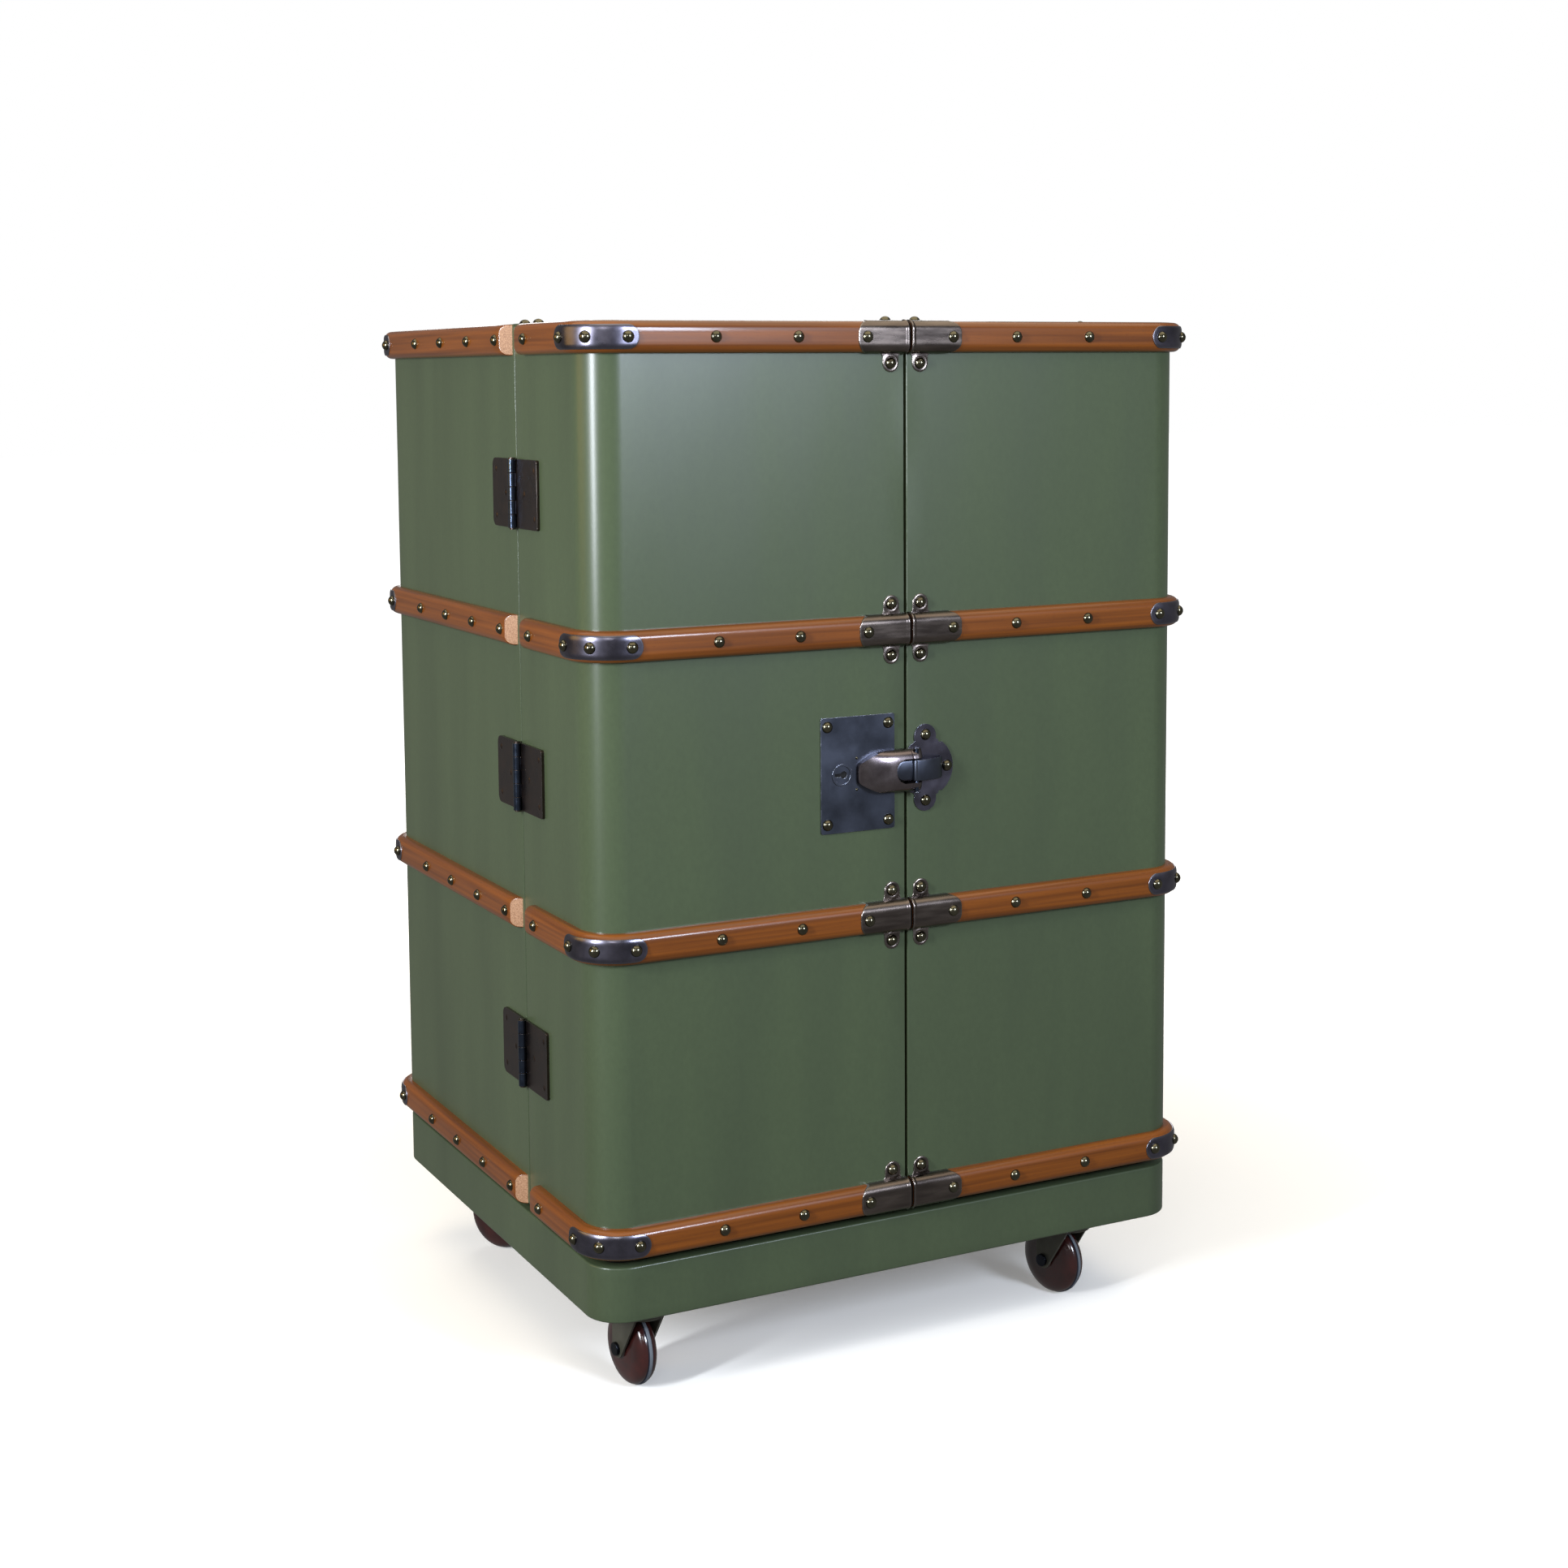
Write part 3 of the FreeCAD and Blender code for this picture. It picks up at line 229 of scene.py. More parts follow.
@dataclass(frozen=True)
class StainedBeech(Finish):
    """Bent beech, stained brown and varnished: long grain, short dark flecks, a clear gloss coat."""

    early: str = "#7B4310"
    late: str = "#592D08"
    fleck: str = "#4A2817"
    figure_size: tuple[float, float, float] = (260 * MM, 5 * MM, 1.0)
    fleck_size: tuple[float, float, float] = (7 * MM, 0.8 * MM, 1.0)

    def paint(self, tree: bpy.types.NodeTree, shader: bpy.types.Node) -> None:
        """Grain stretched along the strip's length, which is U of its map."""
        figure = self.pattern(tree, Coordinates.SURFACE, self.figure_size, 5.0)
        flecks = self.pattern(tree, Coordinates.SURFACE, self.fleck_size, 2.0)
        broad = self.blend(tree, self.spread(tree, figure, 0.0, 1.0), self.early, self.late)
        share = self.spread(tree, flecks, 0.0, 0.4, over=(0.6, 0.72))
        tree.links.new(self.blend(tree, share, broad, self.fleck), shader.inputs["Base Color"])
        shader.inputs["Roughness"].default_value = 0.36
        shader.inputs["Specular IOR Level"].default_value = 0.25
        shader.inputs["Coat Weight"].default_value = 0.5
        shader.inputs["Coat Roughness"].default_value = 0.1


@dataclass(frozen=True)
class SawnEndGrain(Finish):
    """Sawn beech end: paler than the stained face, dull, with pores as small dark dots."""

    ground: str = "#B98F6E"
    pore: str = "#8A6244"
    pore_size: float = 1.2 * MM

    def paint(self, tree: bpy.types.NodeTree, shader: bpy.types.Node) -> None:
        """Fine pores in object space."""
        pores = self.pattern(tree, Coordinates.OBJECT, (self.pore_size,) * 3, 2.0)
        tree.links.new(self.blend(tree, self.spread(tree, pores, 0.0, 1.0), self.ground, self.pore),
                       shader.inputs["Base Color"])
        shader.inputs["Roughness"].default_value = 0.65


@dataclass(frozen=True)
class AgedMetal(Finish):
    """Blacked, blued or antiqued metal: a thin cloudy oxide film, rubbed lighter at the edges."""

    film: str = "#3A3840"
    rubbed: str = "#55525C"
    roughness: float = 0.35
    cloud: float = 14 * MM
    brushed: tuple[float, float, float] = (1.0, 1.0, 1.0)
    scratch: float = 0.003 * MM
    metallic: float = 1.0
    scratch_size: float = 1.0 * MM
    bare: float = 0.28              # how far a rubbed edge is lifted towards white

    def paint(self, tree: bpy.types.NodeTree, shader: bpy.types.Node) -> None:
        """Cloudy film colour, uneven gloss and fine scratches along the brushing."""
        grain = tuple(self.cloud * share for share in self.brushed)
        clouds = self.pattern(tree, Coordinates.OBJECT, grain, 4.0)
        colour = self.blend(tree, self.spread(tree, clouds, 0.0, 1.0), self.film, self.rubbed)
        wear = add_node(tree, "ShaderNodeAttribute", attribute_name="wear")
        edge = self.blend(tree, wear.outputs["Fac"], colour, self.bright())
        tree.links.new(edge, shader.inputs["Base Color"])
        tree.links.new(self.spread(tree, clouds, self.roughness - 0.04, self.roughness + 0.06),
                       shader.inputs["Roughness"])
        shader.inputs["Metallic"].default_value = self.metallic
        if self.scratch:
            fine = tuple(self.scratch_size * share for share in self.brushed)
            self.relief(tree, shader, self.pattern(tree, Coordinates.OBJECT, fine, 2.0), self.scratch)

    def bright(self) -> str:
        """The hex colour of an edge rubbed bare: each channel c becomes c + (255 - c) * bare."""
        channels = [int(self.rubbed[i:i + 2], 16) for i in (1, 3, 5)]
        return "#" + "".join(f"{int(c + (255 - c) * self.bare):02X}" for c in channels)


@dataclass(frozen=True)
class PlainCoat(Finish):
    """Paint, resin, rubber or stained board: one colour with slight clouds, and its own gloss."""

    colour: str = "#3A2220"
    shade: str = "#2E1A18"
    roughness: float = 0.4
    coat: float = 0.0
    cloud: float = 20 * MM

    def paint(self, tree: bpy.types.NodeTree, shader: bpy.types.Node) -> None:
        """Two close tones mixed by soft noise, under an optional clear coat."""
        clouds = self.pattern(tree, Coordinates.OBJECT, (self.cloud,) * 3, 3.0)
        tree.links.new(self.blend(tree, self.spread(tree, clouds, 0.0, 1.0), self.colour, self.shade),
                       shader.inputs["Base Color"])
        shader.inputs["Roughness"].default_value = self.roughness
        shader.inputs["Coat Weight"].default_value = self.coat
        shader.inputs["Coat Roughness"].default_value = 0.08


@dataclass(frozen=True)
class VeneeredPly(Finish):
    """Varnished honey-brown plywood inside the trunk: straight grain, satin."""

    light: str = "#A5794E"
    dark: str = "#85592F"
    grain: tuple[float, float, float] = (9 * MM, 9 * MM, 300 * MM)

    def paint(self, tree: bpy.types.NodeTree, shader: bpy.types.Node) -> None:
        """Grain drawn out along its longest size."""
        figure = self.pattern(tree, Coordinates.OBJECT, self.grain, 4.0)
        tree.links.new(self.blend(tree, self.spread(tree, figure, 0.0, 1.0), self.light, self.dark),
                       shader.inputs["Base Color"])
        shader.inputs["Roughness"].default_value = 0.42


COVER = LeatherCloth("olive_leathercloth")
BEECH = StainedBeech("stained_varnished_beech")
END_GRAIN = SawnEndGrain("sawn_beech_end_grain")
# plywood walls with upright grain, and shelves and end boards with level grain
LINING = VeneeredPly("varnished_plywood_lining")
LEVEL_LINING = VeneeredPly("varnished_plywood_boards", grain=(300 * MM, 9 * MM, 9 * MM))
# dull near-black painted shade on the board in the shadow gap and on the door bands' ends at the middle seam
PAINTED_SHADE_BOARD = PlainCoat("painted_shade_board", "#1C1412", "#120D0C", 0.7)
# nothing shines in the depth of the keyhole
DEEP_SHADE = PlainCoat("unlit_keyhole_depth", "#040404", "#060606", 0.9)
# domed nails of antiqued brass: dark yellow-grey, polished, with hard small highlights
STUD_BRASS = AgedMetal("antiqued_brass_nails", "#565344", "#6E6A58", 0.17, 9 * MM, scratch=0.0)
# gun-blacked steel: violet-grey, glossy
BLACKED_STEEL = AgedMetal("gun_blacked_steel", "#575560", "#6E6B78", 0.27, 22 * MM)
# antiqued brushed steel: grey-brown with light rubbed edges, brushed along the band
ANTIQUED_STEEL = AgedMetal("antiqued_brushed_steel", "#5E5652", "#756B64", 0.25, 16 * MM, (2.5, 1.0, 0.35),
                           scratch=0.0008 * MM)
# blued steel: blue-grey, smooth
BLUED_STEEL = AgedMetal("blued_steel_plate", "#4C515D", "#5A5F6C", 0.31, 30 * MM)
BLUED_EDGE = AgedMetal("blued_steel_rubbed_edge", "#7E8390", "#9095A1", 0.25, 10 * MM)
# hasp of worn nickelled steel: warm grey, polished by hands
WORN_NICKEL = AgedMetal("hand_polished_worn_nickel", "#6A6163", "#7C7373", 0.25, 18 * MM)
# bronzed hinge steel: near black-brown with a hard bluish shine on the rolled knuckles
BRONZED_STEEL = AgedMetal("bronzed_hinge_steel", "#4A403C", "#584C46", 0.3, 14 * MM)
BRONZED_EDGE = AgedMetal("bronzed_hinge_rubbed_edge", "#6E6664", "#7E7774", 0.24, 8 * MM)
KNUCKLE_STEEL = AgedMetal("blued_polished_knuckle", "#3D4656", "#4A5466", 0.2, 8 * MM, scratch=0.0)
# olive-grey satin enamel on the casters' pressed steel
CASTER_PAINT = AgedMetal("olive_grey_caster_enamel", "#45443A", "#525146", 0.36, 18 * MM, metallic=0.35)
CASTER_EDGE = AgedMetal("olive_grey_caster_rubbed_edge", "#6A695E", "#7B7A70", 0.3, 9 * MM, metallic=0.6)
# blacked axle bolts: blue-black, glossy
AXLE_STEEL = AgedMetal("blacked_axle_bolt", "#22252B", "#333740", 0.28, 6 * MM)
# moulded resin wheel: red-brown, polished
WHEEL_RESIN = PlainCoat("moulded_brown_resin", "#3A1714", "#260F0E", 0.22, 0.6)
# satin rubber: a grey running face between two navy edges
TREAD_RUBBER = PlainCoat("grey_tread_rubber", "#6B7075", "#5C6167", 0.55)
GROOVE_RUBBER = PlainCoat("navy_tread_edge", "#1B2230", "#141A26", 0.5)

NODE_FINISH: dict[str, Finish] = {
    "green_cover": COVER, "lining_wood": LINING, "band_wood": BEECH, "dark_board": PAINTED_SHADE_BOARD,
    "dark_brass": STUD_BRASS, "blackened_steel": BLACKED_STEEL, "antique_steel": ANTIQUED_STEEL,
    "lock_steel": BLUED_STEEL, "hinge_bronze": BRONZED_STEEL, "caster_steel": CASTER_PAINT,
    "axle_steel": AXLE_STEEL, "wheel_resin": WHEEL_RESIN}

LEVEL_BOARDS = ("carcass_shelves", "carcass_bottom_board", "left_door_shelves", "right_door_shelves",
                "left_door_end_boards", "right_door_end_boards")


# ---------------------------------------------------------------- meshes
def add_object(name: str, data: bpy.types.ID) -> bpy.types.Object:
    """Make an object of a mesh, light or camera and link it to the scene."""
    item = bpy.data.objects.new(name, data)
    bpy.context.scene.collection.objects.link(item)
    return item


def clean_mesh(mesh: bpy.types.Mesh, merge: float, sharp: float, flat: float = 0.0) -> None:
    """Merge doubled points, turn the faces outwards and shade them smooth.

    Args:
        mesh: The mesh to change.
        merge: Points closer together than this become one.
        sharp: Edges that turn by more degrees than this stay sharp.
        flat: Faces that turn by fewer degrees than this are joined; 0 joins none.
    """
    work = bmesh.new()
    work.from_mesh(mesh)
    bmesh.ops.remove_doubles(work, verts=work.verts, dist=merge)
    if flat:
        bmesh.ops.dissolve_limit(work, angle_limit=math.radians(flat), verts=work.verts, edges=work.edges)
    bmesh.ops.recalc_face_normals(work, faces=work.faces)
    work.to_mesh(mesh)
    work.free()
    mesh.polygons.foreach_set("use_smooth", np.ones(len(mesh.polygons), bool))
    mesh.set_sharp_from_angle(angle=math.radians(sharp))


def build_mesh(name: str, points: Points, faces: list[Sequence[int]], finishes: Sequence[Finish],
               face_finish: Points | None = None, uv: Points | None = None,
               wear: Points | None = None, sharp: float = 40.0) -> bpy.types.Object:
    """Put arrays into a closed, smooth-shaded mesh object.

    Doubled points are merged, which closes seams and poles, and the faces then turned outwards.

    Args:
        name: The piece's name.
        points: (n, 3) places in metres.
        faces: Corner numbers of each face.
        finishes: One finish for each material slot.
        face_finish: The slot number of each face.
        uv: (n, 2) map in metres.
        wear: (n,) share of rubbed edge, 0 to 1.
        sharp: Edges that turn by more degrees than this stay sharp.

    Returns:
        The linked object.
    """
    mesh = bpy.data.meshes.new(name)
    mesh.from_pydata(points.tolist(), [], faces)
    for finish in finishes:
        mesh.materials.append(finish.build())
    if face_finish is not None:
        mesh.polygons.foreach_set("material_index", np.asarray(face_finish, np.int32))
    if uv is not None:
        corners = np.empty(len(mesh.loops), np.int32)
        mesh.loops.foreach_get("vertex_index", corners)
        mesh.uv_layers.new(name="surface").data.foreach_set("uv", uv[corners].astype(np.float32).ravel())
    if wear is not None:
        mesh.attributes.new("wear", "FLOAT", "POINT").data.foreach_set("value", wear.astype(np.float32))
    clean_mesh(mesh, 0.002 * MM, sharp)
    return add_object(name, mesh)


def tube_faces(rings: int, columns: int, first: int = 0) -> list[list[int]]:
    """Quads between neighbouring rings of equally many points, each ring closed on itself."""
    ring, column = np.meshgrid(np.arange(rings - 1), np.arange(columns), indexing="ij")
    across = (column + 1) % columns
    quads = np.stack([ring * columns + column, ring * columns + across,
                      (ring + 1) * columns + across, (ring + 1) * columns + column], axis=-1)
    return (quads.reshape(-1, 4) + first).tolist()


def capped_tube(rings: int, columns: int, first: int = 0) -> list[list[int]]:
    """The quads of a tube, then one face over its first ring and one over its last."""
    last = first + (rings - 1) * columns
    ends = [list(range(start, start + columns)) for start in (first, last)]
    return tube_faces(rings, columns, first) + ends


def slab_faces(rows: int, columns: int, first: int) -> list[list[int]]:
    """Faces of a slab: each row runs along its front and back again, and quads close both end rows."""
    wide = 2 * columns
    faces = tube_faces(rows, wide, first)
    for row in (0, rows - 1):
        near = first + row * wide + np.arange(columns - 1)
        far = first + (row + 1) * wide - 1 - np.arange(columns - 1)
        faces += np.column_stack([near, near + 1, far - 1, far]).tolist()
    return faces


def revolved(reach: Points, rise: Points, columns: int) -> Points:
    """A profile turned about +Z: (rings, columns, 3) places at each reach from the axis and each rise."""
    turn = np.linspace(0, 2 * math.pi, columns, endpoint=False)
    return np.stack([np.outer(reach, np.cos(turn)), np.outer(reach, np.sin(turn)),
                     np.repeat(rise[:, None], columns, axis=1)], axis=-1)


def fit(piece: bpy.types.Object, body: str, stands_for: Sequence[str] = ()) -> bpy.types.Object:
    """Let a finished piece ride on its body and hide the CAD nodes it stands for."""
    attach(piece, body)
    if stands_for:
        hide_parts(*stands_for)
    LOG.info("%s rides on %s: %d faces", piece.name, body, len(piece.data.polygons))
    return piece


@dataclass(frozen=True)
class ShellPlan:
    """The rounded rectangle that shell, bands and plinth share, walked by the length s."""

    half_width: float
    front: float
    back: float
    seam: float
    door_edge: float
    bottom: float
    top: float
    radius: float = 38 * MM
    side_gap: float = 1.5 * MM

    @classmethod
    def from_frame(cls) -> "ShellPlan":
        """Read the shell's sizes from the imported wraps."""
        low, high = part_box("carcass_wrap")
        door_low, door_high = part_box("right_door_wrap")
        return cls(high.x, door_low.y, high.y, (low.y + door_high.y) / 2, door_low.x, low.z, high.z)

    @property
    def run(self) -> float:
        """Length of the straight part from the middle of the front to the corner."""
        return self.half_width - self.radius

    @property
    def bend(self) -> float:
        """Length of a quarter turn."""
        return self.radius * math.pi / 2

    @property
    def side(self) -> float:
        """Length of the straight side."""
        return self.back - self.front - 2 * self.radius

    @property
    def half_length(self) -> float:
        """From the middle of the front to the middle of the back."""
        return 2 * self.run + 2 * self.bend + self.side

    def station(self, y: float) -> float:
        """The length s at a place on the straight right-hand side."""
        return self.run + self.bend + (y - self.front - self.radius)

    def at(self, s: Points, out: Points) -> tuple[Points, Points]:
        """Plan position at length s and distance out from the shell.

        The normal turns from -90 degrees to 0 round the front corner and on to +90 round the back one; the
        point is the corner arc's centre, which slides along the straights, plus (radius + out) along the
        normal. Past the middle of the back the walk is the mirror image.

        Args:
            s: Length along the shell.
            out: Distance outside the shell's face.

        Returns:
            x and y.
        """
        past = s > self.half_length
        t = np.where(past, 2 * self.half_length - s, s)
        first = np.clip((t - self.run) / self.bend, 0, 1)
        second = np.clip((t - self.run - self.bend - self.side) / self.bend, 0, 1)
        angle = (first + second - 1) * math.pi / 2
        centre_x = np.minimum(t, self.run) - np.clip(t - self.half_length + self.run, 0, self.run)
        centre_y = self.front + self.radius + np.clip(t - self.run - self.bend, 0, self.side)
        x = centre_x + (self.radius + out) * np.cos(angle)
        y = centre_y + (self.radius + out) * np.sin(angle)
        return np.where(past, -x, x), y

    def stations(self, start: float, end: float, coarse: float = 24 * MM,
                 fine: float = 2.6 * MM) -> Points:
        """Lengths from start to end, close together in the bends."""
        marks = np.cumsum([self.run, self.bend, self.side, self.bend, 2 * self.run, self.bend, self.side,
                           self.bend, self.run])
        cuts = [start] + [m for m in marks if start < m < end] + [end]
        parts = []
        for low, high in zip(cuts, cuts[1:]):
            bends = int(np.searchsorted(marks, (low + high) / 2)) % 2 == 1
            count = max(2, math.ceil((high - low) / (fine if bends else coarse)) + 1)
            parts.append(np.linspace(low, high, count))
        return np.unique(np.concatenate(parts).round(9))


@dataclass(frozen=True)
class BandShape:
    """The band's D-shaped section, followed by the distance v measured round it from its middle."""

    height: float = 31 * MM
    proud: float = 11.5 * MM
    shoulder: float = 8.5 * MM
    count: int = 4

    @property
    def flat(self) -> float:
        """Half of the flat outer face."""
        return self.height / 2 - self.shoulder

    @property
    def girth(self) -> float:
        """Distance round the section from its middle to the shell."""
        return self.flat + self.shoulder * math.pi / 2 + self.proud - self.shoulder

    def middles(self, plan: ShellPlan) -> list[float]:
        """Heights of the bands' middles, the end ones flush with the shell's ends."""
        low, high = plan.bottom + self.height / 2, plan.top - self.height / 2
        return np.linspace(low, high, self.count).tolist()

    def section(self, v: Points, lift: Points) -> tuple[Points, Points]:
        """Distance out and height above the middle, at v round the section and lifted off it.

        Flat to v = flat, then an arc of the shoulder's radius, then straight back to the shell.

        Args:
            v: Distance round the section, negative below the middle.
            lift: Distance off the surface, along its normal.

        Returns:
            Distance out from the shell and height above the band's middle.
        """
        away = np.abs(v)
        turn = np.clip((away - self.flat) / self.shoulder, 0, math.pi / 2)
        back = np.maximum(away - self.flat - self.shoulder * math.pi / 2, 0)
        out = self.proud - self.shoulder + (self.shoulder + lift) * np.cos(turn) - back
        rise = np.minimum(away, self.flat) + (self.shoulder + lift) * np.sin(turn)
        return out, np.sign(v) * rise

    def loop(self) -> Points:
        """Values of v for one closed section, close together on the shoulders."""
        flats = np.linspace(-self.flat, self.flat, 6)
        turns = np.linspace(0, self.shoulder * math.pi / 2, 10)[1:]
        upper = self.flat + turns
        ends = np.array([self.girth + 0.4 * MM])
        return np.concatenate([-ends, -upper[::-1], flats, upper, ends])


class Side(Enum):
    """Which hand a door or corner is on; the value multiplies x."""

    RIGHT = 1
    LEFT = -1

    @property
    def door(self) -> str:
        """Name of the door's body."""
        return "right_door" if self is Side.RIGHT else "left_door"


def swept_ends(start: float, end: float, inner: Points, radius: float) -> tuple[Points, Points]:
    """Stations with rounded ends: at each end the section shrinks by r(1 - cos a) at distance r(1 - sin a).

    Args:
        start: First station.
        end: Last station.
        inner: Stations between them.
        radius: Radius of the rounded ends.

    Returns:
        The stations, and how far the section shrinks at each.
    """
    turn = np.radians([90.0, 60.0, 30.0, 0.0])
    near, shrink = radius * (1 - np.sin(turn)), radius * (1 - np.cos(turn))
    middle = inner[(inner > start + 1.2 * radius) & (inner < end - 1.2 * radius)]
    stations = np.concatenate([start + near, middle, (end - near)[::-1]])
    return stations, np.concatenate([shrink, np.zeros(len(middle)), shrink[::-1]])


# ---------------------------------------------------------------- covered shell
@dataclass
class CoveredShell:
    """Leathercloth-covered plywood walls of one body, lined inside, with a covered top."""

    plan: ShellPlan
    wall: float = 12 * MM
    edge: float = 1.2 * MM
    levels: int = 60
    top_skin: float = 0.25 * MM     # how far the top's skin stands above the walls
    top_depth: float = 1.5 * MM
    top_inset: float = 0.3 * MM
    wall_drop: float = 1 * MM       # how far the walls end below the top
    ripple: float = 0.10 * MM

    def wall_piece(self, name: str, start: float, end: float, side: Side) -> bpy.types.Object:
        """A wall swept along the plan.

        The section is a tall thin rectangle with rounded corners. The outer face is moved by
        ripple * sin(s / 31 mm + 2 sin(z / 140 mm)) * sin(z / 57 mm + s / 90 mm), as glued cloth has.

        Args:
            name: The piece's name.
            start: First station.
            end: Last station.
            side: RIGHT for a wall as walked, LEFT for its mirror image.

        Returns:
            The piece.
        """
        low, high, levels = self.plan.bottom, self.plan.top - self.wall_drop, self.levels
        stations, shrink = swept_ends(start, end, self.plan.stations(start, end), self.edge)
        rows = np.linspace(low + self.edge, high - self.edge, levels)
        out = np.concatenate([np.zeros(levels), [-self.edge, -self.wall + self.edge],
                              np.full(levels, -self.wall), [-self.wall + self.edge, -self.edge]])
        z = np.concatenate([rows, [high, high], rows[::-1], [low, low]])
        s, out = np.meshgrid(stations, out, indexing="ij")
        z = np.broadcast_to(z, s.shape)
        pinch = shrink[:, None]
        out = out - pinch * np.sign(out + self.wall / 2)
        z = z - pinch * np.sign(z - (low + high) / 2)
        wave = np.sin(s / (31 * MM) + 2 * np.sin(z / (140 * MM))) * np.sin(z / (57 * MM) + s / (90 * MM))
        out = out + self.ripple * (wave - 1) * (out > -self.wall / 2) * (pinch == 0)
        x, y = self.plan.at(s, out)
        points = np.stack([side.value * x, y, z], axis=-1).reshape(-1, 3)
        column = np.arange(s.shape[1])
        inside = (column > levels) & (column < 2 * levels + 2)
        finish = np.concatenate([np.tile(inside, len(stations) - 1).astype(int), [0, 0]])
        return build_mesh(name, points, capped_tube(*s.shape), (COVER, LINING), finish)

    def outline(self, start: float, end: float) -> Points:
        """(n, 2) plan of a stretch of wall, a little inside its face."""
        walk = self.plan.stations(start, end)
        return np.column_stack(self.plan.at(walk, np.full(len(walk), -self.top_inset)))

    def top_piece(self, name: str, outline: Points) -> bpy.types.Object:
        """A thin covered skin over the top, from its outline in plan."""
        count = len(outline)
        low, high = self.plan.top - self.top_depth, self.plan.top + self.top_skin
        points = np.concatenate([np.column_stack([outline, np.full(count, z)]) for z in (low, high)])
        return build_mesh(name, points, capped_tube(2, count), (COVER,))

    def build(self) -> None:
        """The carcass wall and top, and the same for both doors."""
        plan = self.plan
        gap = plan.side_gap / 2
        front, rear = plan.station(plan.seam - gap), plan.station(plan.seam + gap)
        far_side = 2 * plan.half_length - rear
        wall = self.wall_piece("carcass_cover", rear, far_side, Side.RIGHT)
        fit(wall, "carcass", ["carcass_wrap"])
        top = self.top_piece("carcass_top_cover", self.outline(rear, far_side))
        fit(top, "carcass")
        for side in Side:
            wall = self.wall_piece(f"{side.door}_cover", plan.door_edge, front, side)
            fit(wall, side.door, [f"{side.door}_wrap"])
            inner_corner = [[plan.door_edge, plan.seam - gap]]
            edge = np.concatenate([self.outline(plan.door_edge, front), inner_corner])
            top = self.top_piece(f"{side.door}_top_cover", edge * (side.value, 1))
            fit(top, side.door)


# ---------------------------------------------------------------- sheet-metal pieces
@dataclass(frozen=True)
class SheetPlate:
    """A rounded rectangle of sheet laid on any surface, with its edge rolled over.

    A ring at inset i is the rectangle shrunk by i, its corner radii shrunk with it. Rings from the middle
    out along the underside, up the edge and back to the middle make one closed sheet.
    """

    length: float
    height: float
    radii: tuple[float, float, float, float]        # from +u+v round by -u+v
    thick: float = 1 * MM
    along: int = 24
    across: int = 12
    bow: int = 8                                    # segments round each corner
    step: float = 1.6 * MM
    sunk: float = 0.15 * MM
    worn_most: float = 0.8                          # wear at the edge, fading inwards over worn_reach
    worn_reach: float = 0.7 * MM

    def ring(self, inset: float) -> Points:
        """(n, 2) points of the outline shrunk by an inset."""
        half = np.array([self.length / 2, self.height / 2])
        signs = np.array([[1, 1], [-1, 1], [-1, -1], [1, -1]])
        arcs = []
        for number, (sign, radius) in enumerate(zip(signs, self.radii)):
            centre = sign * np.maximum(half - max(radius, inset), 0)
            turn = math.pi / 2 * (number + np.linspace(0, 1, self.bow + 1))
            reach = max(radius - inset, 0)
            arcs.append(centre + reach * np.column_stack([np.cos(turn), np.sin(turn)]))
        points = []
        for number, arc in enumerate(arcs):
            following = arcs[(number + 1) % 4][0]
            count = self.along if number % 2 == 0 else self.across
            share = np.linspace(0, 1, count + 1)[1:-1, None]
            points += [arc, arc[-1] + (following - arc[-1]) * share]
        return np.concatenate(points)

    def rings(self) -> tuple[Points, Points]:
        """Inset and lift of each ring, from the middle of the underside to the middle of the top."""
        deepest = min(self.length, self.height) / 2
        count = max(2, math.ceil(deepest / self.step))
        rolled = 0.5 * self.thick
        inner = np.linspace(deepest, rolled, count)
        turn = np.radians([0.0, 35.0, 70.0])
        inset = np.concatenate([inner, [0.0], rolled * (1 - np.cos(turn)), inner[::-1]])
        top = self.thick - rolled * (1 - np.sin(turn))
        lift = np.concatenate([np.full(count + 1, -self.sunk), top, np.full(count, self.thick)])
        return inset, lift

    def points(self, surface: Surface, relief: Surface | None = None) -> tuple[Points, Points, Points, int]:
        """Lay the rings on a surface.

        Args:
            surface: Turns u, v and lift into places, with a last axis of 3.
            relief: Adds height to the top at u and v.

        Returns:
            Places (n, 3), map (n, 2), wear (n,) and the number of points in a ring.
        """
        inset, lift = self.rings()
        flat = np.stack([self.ring(i) for i in inset])
        u, v = flat[..., 0], flat[..., 1]
        height = np.broadcast_to(lift[:, None], u.shape)
        if relief is not None:
            height = height + relief(u, v, height) * (height > self.thick * 0.9)
        places = surface(u, v, height)
        wear = np.exp(-np.broadcast_to(inset[:, None], u.shape) / self.worn_reach) * self.worn_most
        return places.reshape(-1, 3), flat.reshape(-1, 2), wear.reshape(-1), u.shape[1]


@dataclass
class SheetSet:
    """Collects sheets of one finish into one piece."""

    name: str
    finish: Finish
    places: list[Points] = field(default_factory=list)
    maps: list[Points] = field(default_factory=list)
    wears: list[Points] = field(default_factory=list)
    faces: list[Sequence[int]] = field(default_factory=list)
    total: int = 0

    def lay(self, plate: SheetPlate, surface: Surface, relief: Surface | None = None) -> None:
        """Add one sheet, laid on a surface."""
        places, flat, wear, columns = plate.points(surface, relief)
        self.faces += tube_faces(len(places) // columns, columns, self.total)
        self.places.append(places)
        self.maps.append(flat)
        self.wears.append(wear)
        self.total += len(places)

    def build(self) -> bpy.types.Object:
        """Make the piece."""
        return build_mesh(self.name, np.concatenate(self.places), self.faces, (self.finish,),
                          uv=np.concatenate(self.maps), wear=np.concatenate(self.wears), sharp=50.0)


